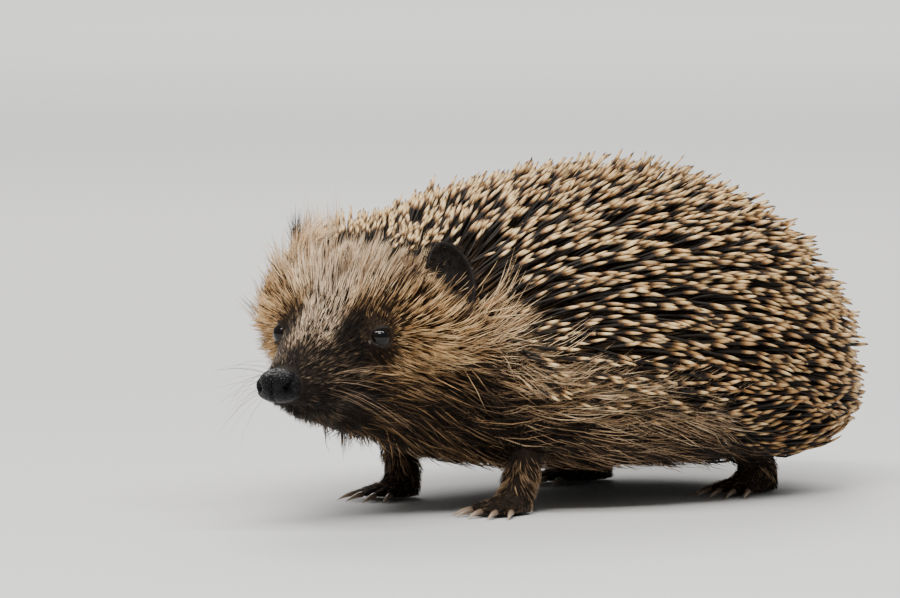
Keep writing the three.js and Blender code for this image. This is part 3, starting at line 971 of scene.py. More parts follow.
@dataclass
class EarShell:
    """One ear: a rounded flap of skin, hollow in front, with a rolled rim."""

    side: Side
    depth: float = 4.0  # half sizes of the outer form
    width: float = 6.2
    height: float = 10.7
    wall: float = 1.1
    rim: float = 0.2  # how far round the front the outer face reaches
    tip_in: float = math.radians(20)
    face_out: float = math.radians(56)

    def matrix(self) -> Array:
        """The ear's own x (hollow side), y (left) and z (tip) axes, as columns in the row frame."""
        sign = self.side.value
        turn = Matrix.Rotation(sign * self.face_out, 3, "Z") @ Matrix.Rotation(sign * self.tip_in, 3, "X")
        basis = np.stack(SPINE.axes(np.array(BUILD.ear[0])), axis=1)
        return basis @ np.array(turn)

    def place(self, shape: Array) -> Array:
        """Puts rows of the ear's own coordinates on the head."""
        along, left, up = BUILD.ear
        foot = SPINE.to_world([along, self.side.value * left, up])
        return foot + shape @ self.matrix().T

    def inside(self, points: Array) -> Array:
        """The same places in the ear's own coordinates, as shares of its half sizes."""
        along, left, up = BUILD.ear
        foot = SPINE.to_world([along, self.side.value * left, up])
        return (points - foot) @ self.matrix() / [self.depth, self.width, self.height]

    def make(self) -> bpy.types.Object:
        """Models the flap.

        Returns:
            The ear, in place, with the attribute ear set to 1.
        """
        deselect_all()
        bpy.ops.mesh.primitive_uv_sphere_add(
            segments=64, ring_count=40, radius=MM, rotation=(0, math.pi / 2, 0)
        )
        ear = bpy.context.object
        bpy.ops.object.transform_apply(rotation=True)
        x, y, z = points_of(ear).T
        outer = np.stack([self.depth * x, self.width * y, self.height * z], axis=1)
        across, tall, deep = self.width - self.wall, self.height - self.wall, self.depth - self.wall
        inner = np.stack([-deep * np.abs(x) ** 0.8, across * y, tall * z], axis=1)
        hollow = smoothstep(x, self.rim - 0.12, self.rim + 0.16)[:, None]
        shape = outer + (inner - outer) * hollow
        narrow = 1 - 0.28 * smoothstep(-z, 0.0, 1.0)
        shape[:, 1] *= narrow
        # A fold runs up the hollow, and the rear rim curls a little forwards.
        sign = self.side.value
        fold = np.exp(-(((y * sign + 0.25) / 0.16) ** 2)) * smoothstep(-z, -0.35, 0.7)
        shape[:, 0] += 1.1 * fold * hollow[:, 0]
        shape[:, 0] += 0.5 * smoothstep(y * sign, 0.4, 1.0)
        set_points(ear, self.place(shape))
        give_attribute(ear.data, "ear", np.ones(len(shape)))
        return ear


@dataclass
class Skin:
    """The skin under the coat, in one piece from the snout to the tail."""

    grow: float = 0.38  # closes the thin cuts between the frame's parts
    cell: float = 0.95
    depth_along: tuple = (-80, -30, 52, 64, 72, 80, 86, 92, 98, 113, 116, 122)
    depth: tuple = (5.0, 6.5, 7.0, 6.4, 5.4, 3.8, 2.4, 1.2, 0.7, 0.6, 1.3, 1.5)
    bare_along: tuple = (46, 66)
    bare_depth: tuple = (0.6, 4.6)  # under the quills
    lid: float = 0.34
    chin_depth: float = 2.0  # more coat under the jaw
    toe: float = 4.5  # how far back the clefts between the toes run
    lid_opening: tuple[float, float, float] = (37.0, 37.0, 61.0)  # up, down and to the corners
    points: Array = field(init=False)
    normals: Array = field(init=False)
    body: Array = field(init=False)
    part: Array = field(init=False)
    thickness: Array = field(init=False)
    tree: BVHTree = field(init=False)

    def make(self, outline: Outline) -> bpy.types.Object:
        """Models the skin inside the frame's outline.

        Args:
            outline: the frame's surface.

        Returns:
            The skin, dressed and riding on the body.
        """
        self.piece = self._join_flesh()
        self._remesh(self.cell)
        self._soften(24, outline)
        self._sink(outline)
        self._remesh(self.cell)
        self._soften(8, outline)
        self._refine()
        self._sculpt()
        self._add_ears()
        self._measure(outline)
        self._mark()
        self.piece.data.shade_smooth()
        names = nodes_of(Part.BODY, Part.HEAD, Part.EAR, Part.LEG, Part.FOOT, Part.TAIL)
        finish_piece(self.piece, SkinFinish().make(), "pelt", *names)
        return self.piece

    def _join_flesh(self) -> bpy.types.Object:
        """Joins copies of the frame's nodes of flesh, grown a little so that they run together."""
        copies = []
        for name in nodes_of(
            Part.BODY, Part.HEAD, Part.NOSE, Part.EYE, Part.LEG, Part.FOOT, Part.TAIL
        ):
            copy = frame["nodes"][name].copy()
            copy.data = copy.data.copy()
            bpy.context.collection.objects.link(copy)
            copy.parent = None
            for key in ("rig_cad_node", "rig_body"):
                if key in copy:
                    del copy[key]
            copies.append(copy)
        deselect_all()
        for copy in copies:
            copy.select_set(True)
        bpy.context.view_layer.objects.active = copies[0]
        bpy.ops.object.join()
        piece = bpy.context.object
        piece.name = "skin"
        bpy.ops.object.mode_set(mode="EDIT")
        bpy.ops.mesh.select_all(action="SELECT")
        bpy.ops.mesh.remove_doubles(threshold=0.00002)
        bpy.ops.mesh.normals_make_consistent(inside=False)
        leave_edit(piece)
        set_points(piece, points_of(piece) + self.grow * normals_of(piece))
        return piece

    def _remesh(self, cell: float) -> None:
        """Makes the skin one even mesh of small squares."""
        apply_modifier(self.piece, "REMESH", mode="VOXEL", voxel_size=cell * MM, adaptivity=0.0)

    def _soften(self, rounds: int, outline: Outline) -> None:
        """Rounds the skin's facets, and least on the feet and the snout."""
        points = points_of(self.piece)
        part = outline.parts(points)
        along = SPINE.to_body(points)[:, 0]
        give = 0.5 - 0.38 * smoothstep(along, 84, 100)
        give = np.where(np.isin(part, [Part.FOOT.value, Part.TAIL.value]), 0.06, give)
        give = np.where(part == Part.LEG.value, 0.2, give)
        set_points(self.piece, relax(points, edges_of(self.piece), give, rounds))

    def _sink(self, outline: Outline) -> None:
        """Moves the skin in from the outline by the depth of the coat."""
        points, normals = points_of(self.piece), normals_of(self.piece)
        body = SPINE.to_body(points)
        part = outline.parts(points)
        depth = self._coat_depth(body)
        covered = smoothstep(BUILD.above_fringe(body), -5.0, 7.0)
        depth = depth + covered * (np.interp(body[:, 0], self.bare_along, self.bare_depth) - depth)
        for kind, value in ((Part.LEG, 1.1), (Part.FOOT, 0.35), (Part.TAIL, 0.7)):
            depth = np.where(part == kind.value, value, depth)
        depth = relax(depth, edges_of(self.piece), 0.6, 14)[:, 0] + self.grow
        normals = unit(relax(normals, edges_of(self.piece), 0.6, 10))
        set_points(self.piece, points - normals * depth[:, None])

    def _coat_depth(self, body: Array) -> Array:
        """How deep the fur is over the skin."""
        along, _, up = body.T
        depth = np.interp(along, self.depth_along, self.depth)
        depth = depth * (0.62 + 0.38 * smoothstep(up, 8.0, 18.0))
        under_jaw = smoothstep(along, 84, 91) * (1 - smoothstep(along, 108, 114)) * (1 - smoothstep(up, 26, 31))
        depth = depth + self.chin_depth * under_jaw
        return np.minimum(depth, 0.85 + 0.5 * np.maximum(BUILD.from_eye(body) - 4.5, 0.0))

    def _refine(self) -> None:
        """Gives the eyes, the snout and the feet a finer mesh."""
        for reach, snout, foot in ((9.0, 94.0, 9.0), (7.0, 200.0, -1.0)):
            body = SPINE.to_body(points_of(self.piece))
            chosen = (BUILD.from_eye(body) < reach) | (body[:, 0] > snout) | (body[:, 2] < foot)
            select_vertices(self.piece, chosen)
            bpy.ops.mesh.subdivide(number_cuts=1)
            leave_edit(self.piece)

    def _sculpt(self) -> None:
        """Shapes the lids, the line of the mouth and the folds."""
        points = points_of(self.piece)
        body = SPINE.to_body(points)
        fine = (BUILD.from_eye(body) < 9) | (body[:, 0] > 94) | (body[:, 2] < 9)
        points = relax(points, edges_of(self.piece), 0.5 * fine, 3)
        for side in Side:
            points = self._open_lids(points, side)
        set_points(self.piece, points)
        normals = normals_of(self.piece)
        along, left, up = SPINE.to_body(points).T
        line = np.interp(along, BUILD.mouth_corner[:1] + BUILD.mouth_tip[:1], (30.5, 30.6))
        line = line + 0.6 * np.sin((along - 88.0) / 30.0 * math.pi * 2)
        groove = np.exp(-(((up - line) / 0.55) ** 2)) * smoothstep(along, 87.0, 92.0)
        philtrum = np.exp(-((left / 0.45) ** 2)) * smoothstep(along, 112, 116) * (up < 34)
        deep = 0.6 * groove + 0.3 * philtrum + 1.2 * self._between_toes(points)
        set_points(self.piece, points - normals * deep[:, None])

    def _between_toes(self, points: Array) -> Array:
        """How near each place on a foot is to the cleft between two toes, from 0 to 1."""
        starts, ways = [], []
        for name in sorted(n for n in frame["nodes"] if n.startswith("claw_")):
            start, level = claw_lie(name)
            starts.append(start)
            ways.append(level)
        offset = points[:, None, :2] - np.array(starts)[None, :, :2]
        ways = np.array(ways)[None, :, :2]
        back = np.clip((offset * ways).sum(axis=2), -self.toe, 1.0)
        gaps = np.sort(np.linalg.norm(offset - back[..., None] * ways, axis=2), axis=1)
        cleft = 1 - smoothstep(gaps[:, 1] - gaps[:, 0], 0.1, 1.3)
        return cleft * (1 - smoothstep(gaps[:, 0], 1.4, 2.5)) * (points[:, 2] < 7.5)

    def _open_lids(self, points: Array, side: Side) -> Array:
        """Opens one eye, with a rim of lid that lies on the ball.

        Args:
            points: the skin's vertices.
            side: which eye.

        Returns:
            The vertices, moved.
        """
        eye = EyeBall(side)
        centre, looks, above, across = eye.axes()
        offset = points - centre
        distance = np.linalg.norm(offset, axis=1)
        way = unit(offset)
        angle = np.degrees(np.arccos(np.clip(way @ looks, -1, 1)))
        rise, aside = way @ above, way @ across
        steep = rise**2 / np.maximum(rise**2 + aside**2, 1e-9)
        up, down, corner = self.lid_opening
        opening = corner + (np.where(rise > 0, up, down) - corner) * steep
        past = angle - opening
        ball = eye.radius
        lid = ball + self.lid + 0.22 * np.exp(-(((past - 11) / 6.0) ** 2))
        lid = lid - 0.16 * np.exp(-(((past - 25) / 6.0) ** 2))
        over = np.maximum(distance, lid - 1.6 * smoothstep(past, 30.0, 75.0))
        inner = ball - 0.5
        radius = inner + (over - inner) * smoothstep(past, 0.0, 8.0)
        near = (distance < 8.0) & (angle < 115.0)
        moved = centre + way * radius[:, None]
        return np.where(near[:, None], moved, points)

    def _add_ears(self) -> None:
        """Joins the two ears to the head."""
        ears = [EarShell(side).make() for side in Side]
        give_attribute(self.piece.data, "ear", np.zeros(len(self.piece.data.vertices)))
        deselect_all()
        for ear in ears:
            ear.select_set(True)
        self.piece.select_set(True)
        bpy.context.view_layer.objects.active = self.piece
        bpy.ops.object.join()

    def _measure(self, outline: Outline) -> None:
        """Keeps what the coat needs to know of the skin."""
        self.points, self.normals = points_of(self.piece), normals_of(self.piece)
        self.body = SPINE.to_body(self.points)
        ear = np.empty(len(self.points), np.float32)
        self.piece.data.attributes["ear"].data.foreach_get("value", ear)
        self.part = np.where(ear > 0.5, Part.EAR.value, outline.parts(self.points))
        self.thickness = outline.depth(self.points, self.normals)
        furred = 1 - smoothstep(BUILD.above_roots(self.body), -8.0, 0.0)
        most = 1.6 * self._coat_depth(self.body) + 1.0
        over = np.maximum(self.thickness - most, 0.0)
        self.thickness = self.thickness - furred * over
        self.thickness = relax(self.thickness, edges_of(self.piece), 0.6, 10)[:, 0]
        self.piece.data.calc_loop_triangles()
        flat = np.empty(len(self.piece.data.loop_triangles) * 3, np.int32)
        self.piece.data.loop_triangles.foreach_get("vertices", flat)
        self.triangles = flat.reshape(-1, 3)
        self.tree = BVHTree.FromPolygons(self.points.tolist(), self.triangles.tolist())

    def _mark(self) -> None:
        """Gives the skin the coat's markings, with painted shade under the quills."""
        tone, warmth = MARKINGS.fur(self.points, self.body, self.part)
        tone = MARKINGS.undercoat(tone)
        # Painted shade: the skin under the quills is darkened nearly to black.
        covered = smoothstep(BUILD.above_roots(self.body), -3.0, 4.0) * (self.part != Part.EAR.value)
        tone = tone + covered * (0.05 - tone)
        bare = np.where(self.part == Part.EAR.value, 0.9, 1.0 - smoothstep(self.lid_gap(), 2.5, 2.9))
        bare = np.maximum(bare, self.ear_mouth())
        bare = np.where(self.body[:, 2] < 1.2, 1.0, bare)
        for name, values in (("tone", tone), ("warmth", warmth), ("bare", bare), ("tear", self._tear())):
            give_attribute(self.piece.data, name, values)

    def lid_gap(self) -> Array:
        """How far each vertex is from the line that the nearer eye looks along."""
        found = np.full(len(self.points), 99.0)
        for side in Side:
            centre, looks, _, _ = EyeBall(side).axes()
            offset = self.points - centre
            ahead = offset @ looks
            gap = np.linalg.norm(offset - ahead[:, None] * looks, axis=1)
            found = np.where((ahead > 0) & (ahead < 8), np.minimum(found, gap), found)
        return found

    def ear_mouth(self) -> Array:
        """Marks the skin that lies in front of the ears' hollows, from 0 to 1."""
        found = np.zeros(len(self.points))
        for side in Side:
            x, y, z = EarShell(side).inside(self.points).T
            round_rim = np.hypot(y, z + 0.05)
            here = (1 - smoothstep(round_rim, 0.72, 0.95)) * (x > -0.8) * (x < 2.2)
            found = np.maximum(found, here)
        return found * (self.part != Part.EAR.value)

    def _tear(self) -> Array:
        """Marks the moist inner corners of the eyes: their own pink, painted paler as a highlight."""
        tear = np.zeros(len(self.points))
        for side in Side:
            eye = EyeBall(side)
            centre, looks, above, across = eye.axes()
            inner = across if across @ SPINE.axes(np.array(BUILD.eye[0]))[0] > 0 else -across
            corner = centre + eye.radius * (0.95 * inner - 0.34 * above + 0.25 * looks)
            gap = np.linalg.norm(self.points - corner, axis=1)
            tear = np.maximum(tear, 1 - smoothstep(gap, 0.35, 0.75))
        return tear

    def nearest(self, places: Array) -> tuple[Array, Array, Array]:
        """Finds the skin nearest to some places.

        Args:
            places: rows in millimetres.

        Returns:
            The points on the skin, the normals there, and the coat's thickness there.
        """
        found = [self.tree.find_nearest(p) for p in places.tolist()]
        spots = np.array([f[0] for f in found])
        corners = self.triangles[[f[2] for f in found]]
        near = np.linalg.norm(self.points[corners] - spots[:, None], axis=2)
        share = 1.0 / (near + 0.05)
        share /= share.sum(axis=1, keepdims=True)
        normals = unit((self.normals[corners] * share[..., None]).sum(axis=1))
        return spots, normals, (self.thickness[corners] * share).sum(axis=1)


# ---- Eyes, nose and claws ------------------------------------------------------------------------


@dataclass
class EyeBall:
    """One eye: a dark ball with a cornea that stands a little proud."""

    side: Side
    radius: float = BUILD.eye_radius
    cornea: float = 0.16

    def axes(self) -> tuple[Array, Array, Array, Array]:
        """The eye's middle, the way it looks, the way up across it and the way to its corner."""
        along, left, up = BUILD.eye
        centre = SPINE.to_world([along, self.side.value * left, up])[0]
        ahead, aside, lift = BUILD.eye_looks
        looks = unit(SPINE.direct(np.array([along]), np.array([[ahead, self.side.value * aside, lift]])))[0]
        above = unit(UP - looks * (UP @ looks))
        return centre, looks, above, np.cross(looks, above)

    def make(self) -> bpy.types.Object:
        """Models the eye.

        Returns:
            The eye, dressed and riding on the body.
        """
        centre, looks, _, _ = self.axes()
        deselect_all()
        bpy.ops.mesh.primitive_uv_sphere_add(
            segments=64,
            ring_count=40,
            radius=self.radius * MM,
            location=centre * MM,
            rotation=Vector(looks).to_track_quat("Z", "Y").to_euler(),
        )
        eye = bpy.context.object
        eye.name = f"eye_ball_{self.side.word}"
        bpy.ops.object.transform_apply(location=True, rotation=True)
        points = points_of(eye)
        angle = np.degrees(np.arccos(np.clip(unit(points - centre) @ looks, -1, 1)))
        bulge = self.cornea * (1 - smoothstep(angle, 20.0, 58.0))
        set_points(eye, points + looks * bulge[:, None])
        give_attribute(eye.data, "ring", angle / 90.0)
        eye.data.shade_smooth()
        finish_piece(eye, EyeFinish().make(), "eye", f"eye_{self.side.word}")
        return eye


@dataclass
class NosePad:
    """The bare pad at the tip of the snout, with two comma-shaped nostrils."""

    along: float = 117.2
    up: float = 36.2
    deep: float = 4.5  # half sizes
    wide: float = 5.4
    high: float = 4.2
    nostril_turn: tuple[float, float] = (46.0, 90.0)  # from its foot to its top, in degrees
    nostril_rise: tuple[float, float] = (-0.10, 0.85)  # as shares of the half height

    def make(self) -> bpy.types.Object:
        """Models the pad.

        Returns:
            The pad, dressed and riding on the body.
        """
        deselect_all()
        bpy.ops.mesh.primitive_uv_sphere_add(
            segments=128, ring_count=96, radius=MM, rotation=(0, math.pi / 2, 0)
        )
        pad = bpy.context.object
        pad.name = "nose_pad"
        bpy.ops.object.transform_apply(rotation=True)
        x, y, z = points_of(pad).T
        swell = 1 + 0.06 * np.cos(2 * y) + 0.20 * smoothstep(-z, 0.15, 0.7)
        shape = np.stack([self.deep * x, self.wide * y * swell, self.high * z], axis=1)
        front = smoothstep(x, 0.0, 0.4)
        side = np.abs(y)
        pits, wings = self._nostrils(np.degrees(np.arctan2(side, x)), z)
        groove = np.exp(-((y / 0.075) ** 2)) * front * (0.35 + 0.65 * smoothstep(-z, -0.5, 0.5))
        lobes = np.exp(-(((side - 0.38) / 0.26) ** 2) - ((z - 0.25) / 0.5) ** 2) * front
        shape[:, 0] += 0.35 * lobes - 0.5 * groove
        shape[:, 0] -= 0.5 * smoothstep(z, 0.5, 1.0) * front
        shape[:, :2] *= (1 - 0.36 * pits + 0.07 * wings)[:, None]
        places = np.stack([self.along + shape[:, 0], shape[:, 1], self.up + shape[:, 2]], axis=1)
        set_points(pad, SPINE.to_world(places))
        pad.data.shade_smooth()
        finish_piece(pad, NoseFinish().make(), "nose", "nose")
        return pad

    def _nostrils(self, turn: Array, z: Array) -> tuple[Array, Array]:
        """Shapes a pit on each side, with a slit that curls up and out, and a wing behind it.

        Args:
            turn: how far round from the front each vertex lies, in degrees.
            z: its height, as a share of the half height.

        Returns:
            How deep each vertex lies in a nostril, and how far it stands out on a wing.
        """
        foot, top = self.nostril_turn
        across = turn - foot - (top - foot) * smoothstep(z, *self.nostril_rise)
        ends = smoothstep(z, -0.36, -0.16) * (1 - smoothstep(z, 0.66, 0.86))
        slit = np.exp(-((across / (6.5 - 2.0 * smoothstep(z, 0.0, 0.8))) ** 2)) * ends
        pit = np.exp(-(((turn - foot) / 11.0) ** 2) - ((z + 0.1) / 0.17) ** 2)
        wings = np.exp(-(((across - 21.0) / 9.0) ** 2)) * ends
        return np.maximum(pit, 0.75 * slit), wings


@dataclass
class Claws:
    """The claws, all copies of one that is drawn out of a round plate ring by ring."""

    radius: float = 0.8
    length: float = 5.6
    drop: float = 1.6
    root: float = 0.8  # how far it starts inside the toe
    rings: int = 7

    def make(self) -> None:
        """Models one claw and copies it to the place of each claw in the frame."""
        model = self._model()
        material = ClawFinish().make()
        for name in sorted(n for n in frame["nodes"] if n.startswith("claw_")):
            claw = model.copy()
            claw.data = model.data.copy()
            claw.name = name.replace("claw_", "nail_")
            bpy.context.collection.objects.link(claw)
            self._fit(claw, name)
            finish_piece(claw, material, "claw", name)
        bpy.data.objects.remove(model)

    def _model(self) -> bpy.types.Object:
        """Draws a claw out along Z, curving towards -Y, with its root at the origin."""
        deselect_all()
        bpy.ops.mesh.primitive_circle_add(vertices=16, radius=self.radius * MM, fill_type="NGON")
        claw = bpy.context.object
        bpy.ops.object.mode_set(mode="EDIT")
        bpy.ops.mesh.select_all(action="SELECT")
        swell = 1.0
        for ring in range(1, self.rings + 1):
            t, before = ring / self.rings, (ring - 1) / self.rings
            move = (0.0, -self.drop * (t**2 - before**2) * MM, self.length / self.rings * MM)
            bpy.ops.mesh.extrude_region_move(TRANSFORM_OT_translate={"value": move})
            taper = max(1 - t**1.7, 0.06)
            place = (0.0, -self.drop * t**2 * MM, self.length * t * MM)
            bpy.ops.transform.resize(value=(taper / swell,) * 2 + (1,), center_override=place)
            swell = taper
        bpy.ops.mesh.select_all(action="SELECT")
        bpy.ops.mesh.normals_make_consistent(inside=False)
        leave_edit(claw)
        apply_modifier(claw, "SUBSURF", levels=1, render_levels=1)
        give_attribute(claw.data, "along", np.clip(points_of(claw)[:, 2] / self.length, 0, 1))
        claw.data.shade_smooth()
        return claw

    def _fit(self, claw: bpy.types.Object, node: str) -> None:
        """Moves a claw to the place of a node, pointing as it does."""
        start, level = claw_lie(node)
        shape = points_of(claw)
        turned = shape @ np.stack([np.cross(level, UP), UP, level])
        set_points(claw, start - level * self.root + turned)


# ---- The coat ------------------------------------------------------------------------------------


@dataclass
class Growth:
    """Hairs or quills as curves: each has a root, a place that it bends towards and a tip."""

    root: Array
    bend: Array
    tip: Array
    width: Array
    body: Array  # the root as (along, left, up)
    part: Array
    tone: Array
    warmth: Array
    chance: Array

    def picked(self, chosen: Array) -> "Growth":
        """The growth with only the chosen hairs."""
        return Growth(**{name: value[chosen] for name, value in vars(self).items()})


@dataclass(frozen=True)
class HairForm:
    """A hair's solid: how many sides it has, and its width in shares at each ring along it."""

    sides: int
    rings: tuple[tuple[float, float], ...]

    def faces(self) -> list[list[int]]:
        """One hair's faces, by its own vertices."""
        last, sides = len(self.rings) - 1, self.sides
        found = [list(range(sides))[::-1]]
        for ring in range(last):
            for k in range(sides):
                a, b = ring * sides + k, ring * sides + (k + 1) % sides
                found.append([a, b, b + sides, a + sides])
        top = last * sides
        found += [[top + k, top + (k + 1) % sides, top + sides] for k in range(sides)]
        return found

    def build(self, name: str, growth: Growth) -> bpy.types.Object:
        """Makes one mesh of all the hairs.

        Args:
            name: the piece's name.
            growth: the hairs' curves and colours.

        Returns:
            The piece, with its attributes and its bake map.
        """
        count = len(growth.root)
        along = np.array([a for a, _ in self.rings] + [1.0])
        share = np.array([w for _, w in self.rings])
        root, bend, tip = (p[:, None, :] for p in (growth.root, growth.bend, growth.tip))
        s = along[None, :, None]
        centre = (1 - s) ** 2 * root + 2 * s * (1 - s) * bend + s**2 * tip
        heading = unit(2 * (1 - s) * (bend - root) + 2 * s * (tip - bend))
        hinge = np.cross(growth.bend - growth.root, growth.tip - growth.bend)
        spare = np.cross(growth.tip - growth.root, [0.3, 0.5, 0.81])
        flat = np.linalg.norm(hinge, axis=1, keepdims=True) < 1e-4
        hinge = unit(np.where(flat, spare, hinge))[:, None, :]
        out = unit(np.cross(heading, hinge))
        over = np.cross(heading, out)
        turn = np.arange(self.sides) / self.sides * 2 * math.pi
        thick = (growth.width[:, None] / 2 * share)[..., None, None]
        ring = out[:, :-1, None] * np.cos(turn)[:, None] + over[:, :-1, None] * np.sin(turn)[:, None]
        ring = centre[:, :-1, None] + thick * ring
        points = np.concatenate([ring.reshape(count, -1, 3), centre[:, -1:]], axis=1)
        return self._mesh(name, growth, points, along)

    def _mesh(self, name: str, growth: Growth, points: Array, along: Array) -> bpy.types.Object:
        """Turns the hairs' points into a piece."""
        count, each = points.shape[:2]
        faces = self.faces()
        sizes = np.tile([len(f) for f in faces], count)
        corners = np.concatenate(faces)[None] + np.arange(count)[:, None] * each
        mesh = bpy.data.meshes.new(name)
        mesh.vertices.add(count * each)
        mesh.loops.add(corners.size)
        mesh.polygons.add(len(sizes))
        mesh.vertices.foreach_set("co", (points * MM).astype(np.float32).ravel())
        mesh.loops.foreach_set("vertex_index", corners.astype(np.int32).ravel())
        starts = np.concatenate([[0], np.cumsum(sizes)[:-1]])
        mesh.polygons.foreach_set("loop_start", starts.astype(np.int32))
        mesh.update(calc_edges=True)
        mesh.shade_smooth()
        step = np.append(np.repeat(along[:-1], self.sides), 1.0)
        turn = np.append(np.tile(np.arange(self.sides) / self.sides, len(self.rings)), 0.5)
        give_attribute(mesh, "along", np.tile(step, count))
        for key in ("tone", "warmth", "chance"):
            give_attribute(mesh, key, np.repeat(getattr(growth, key), each))
        place = SKIN_MAP.place(growth.body, growth.part)[:, None, :]
        patch = np.stack([step - 0.5, turn - 0.5], axis=1) * PATCH
        corner_uv = (place + patch[None]).reshape(-1, 2)[corners.ravel()]
        mesh.uv_layers.new(name=BAKE_MAP).data.foreach_set("uv", corner_uv.astype(np.float32).ravel())
        piece = bpy.data.objects.new(name, mesh)
        bpy.context.collection.objects.link(piece)
        return piece


class Seeds:
    """Roots scattered over the skin."""

    def __init__(self, skin: Skin, seed: int) -> None:
        """Keeps the skin and starts a random series of its own."""
        self.skin = skin
        self.rng = np.random.default_rng(seed)

    def scatter(self, density: Array, even: float) -> tuple[Array, Array, Array, Array]:
        """Scatters roots, more where the density is higher.

        Args:
            density: roots for each square millimetre, one value for each vertex of the skin.
            even: from 0 for random places to 1 for places kept well apart.

        Returns:
            The places, normals, parts and coat thicknesses of the roots.
        """
        skin, rng = self.skin, self.rng
        a, b, c = (skin.points[skin.triangles[:, i]] for i in range(3))
        area = 0.5 * np.linalg.norm(np.cross(b - a, c - a), axis=1)
        here = density[skin.triangles].mean(axis=1)
        more = 1.0 + 1.6 * even
        wanted = rng.poisson(area * here * more)
        face = np.repeat(np.arange(len(area)), wanted)
        share = rng.dirichlet((1, 1, 1), len(face))
        corners = skin.triangles[face]
        places = (skin.points[corners] * share[..., None]).sum(axis=1)
        if even > 0:
            kept = self._thin(places, 0.80 * even / np.sqrt(here[face]))
            places, corners, share = places[kept], corners[kept], share[kept]
        normals = unit((skin.normals[corners] * share[..., None]).sum(axis=1))
        thickness = (skin.thickness[corners] * share).sum(axis=1)
        return places, normals, skin.part[corners[:, 0]], thickness

    @staticmethod
    def _thin(places: Array, apart: Array) -> Array:
        """Marks places to keep so that none is closer to another than it should be."""
        tree = KDTree(len(places))
        for i, place in enumerate(places.tolist()):
            tree.insert(place, i)
        tree.balance()
        kept = np.ones(len(places), bool)
        for i, place in enumerate(places.tolist()):
            if not kept[i]:
                continue
            for _, j, _ in tree.find_range(place, float(apart[i])):
                if j != i:
                    kept[j] = False
        return kept


class Comb:
    """The lie of the coat."""

    def fur(self, points: Array, body: Array, part: Array, normals: Array) -> Array:
        """The way the fur lies: away from the nose on the face, and backwards on the body.

        Args:
            points: roots in the row frame.
            body: the roots as (along, left, up).
            part: the part of each, by number.
            normals: the way out of the skin at each.

        Returns:
            Directions along the skin.
        """
        forward, left, up = SPINE.axes(body[:, 0])
        along, height = body[:, 0:1], body[:, 2:3]
        lift = 0.36 * smoothstep(along, 0, 36) * (1 - smoothstep(height, 42, 58))
        lift = lift - 0.02 - 0.12 * (1 - smoothstep(height, 10.0, 30.0))
        chest = smoothstep(height, 9, 15) * (1 - smoothstep(height, 28, 36))
        lift = lift + 0.28 * chest * smoothstep(along, -30, 10)
        back = unit(-forward + lift * up + 0.12 * left * np.sign(body[:, 1:2]))
        source = np.zeros((len(body), 3))
        source[:, 0] = np.interp(body[:, 0], [80, 105], [110, 121])
        source[:, 2] = np.interp(body[:, 0], [80, 105], [32, 37])
        away = unit(points - SPINE.to_world(source))
        away = away + (0.40 * (1 - smoothstep(height, 26, 44)) + 0.12 * smoothstep(height, 42, 50)) * up
        face = smoothstep(along, 58, 76)
        way = back * (1 - face) + away * face
        before_ear = 1 - smoothstep(BUILD.from_ear(body)[:, None], 9.0, 19.0)
        way = way + 0.45 * before_ear * smoothstep(along, 62, 70) * up
        for side in Side:
            gap = points - SPINE.to_world(np.array(BUILD.eye) * [1, side.value, 1])
            near = 1 - smoothstep(np.linalg.norm(gap, axis=1), 3.6, 8.0)
            way = way + 1.5 * near[:, None] * unit(gap)
            gap = points - SPINE.to_world(np.array(BUILD.ear) * [1, side.value, 1] - [0, 0, 8])
            on_ear = ((part == Part.EAR.value) & (body[:, 1] * side.value > 0))[:, None]
            way = np.where(on_ear, unit(gap) + 0.4 * back, way)
        limb = (part == Part.LEG.value)[:, None]
        way = np.where(limb, -up - 0.35 * forward, way)
        foot = (part == Part.FOOT.value)[:, None]
        way = np.where(foot, 0.9 * forward - 0.5 * up, way)
        return self._along(way, normals)

    def quills(self, body: Array, normals: Array) -> Array:
        """The way the quills lie: backwards, a little down on the flanks, and fanned at the crown."""
        forward, left, up = SPINE.axes(body[:, 0])
        side = np.clip(body[:, 1:2] / 50.0, -1, 1)
        crown = smoothstep(body[:, 0:1], 35, 75)
        way = -forward + 0.30 * left * side - 0.14 * up * np.abs(side)
        way = way + crown * (0.30 * up + 0.35 * left * side)
        return self._along(way, normals)

    @staticmethod
    def _along(ways: Array, normals: Array) -> Array:
        """Lays directions flat on the skin."""
        return unit(ways - normals * (ways * normals).sum(axis=1, keepdims=True))

    @staticmethod
    def turned(ways: Array, normals: Array, angles: Array) -> Array:
        """Turns directions about the skin's normals, by angles in radians."""
        side = np.cross(normals, ways)
        return unit(ways * np.cos(angles)[:, None] + side * np.sin(angles)[:, None])


COMB = Comb()


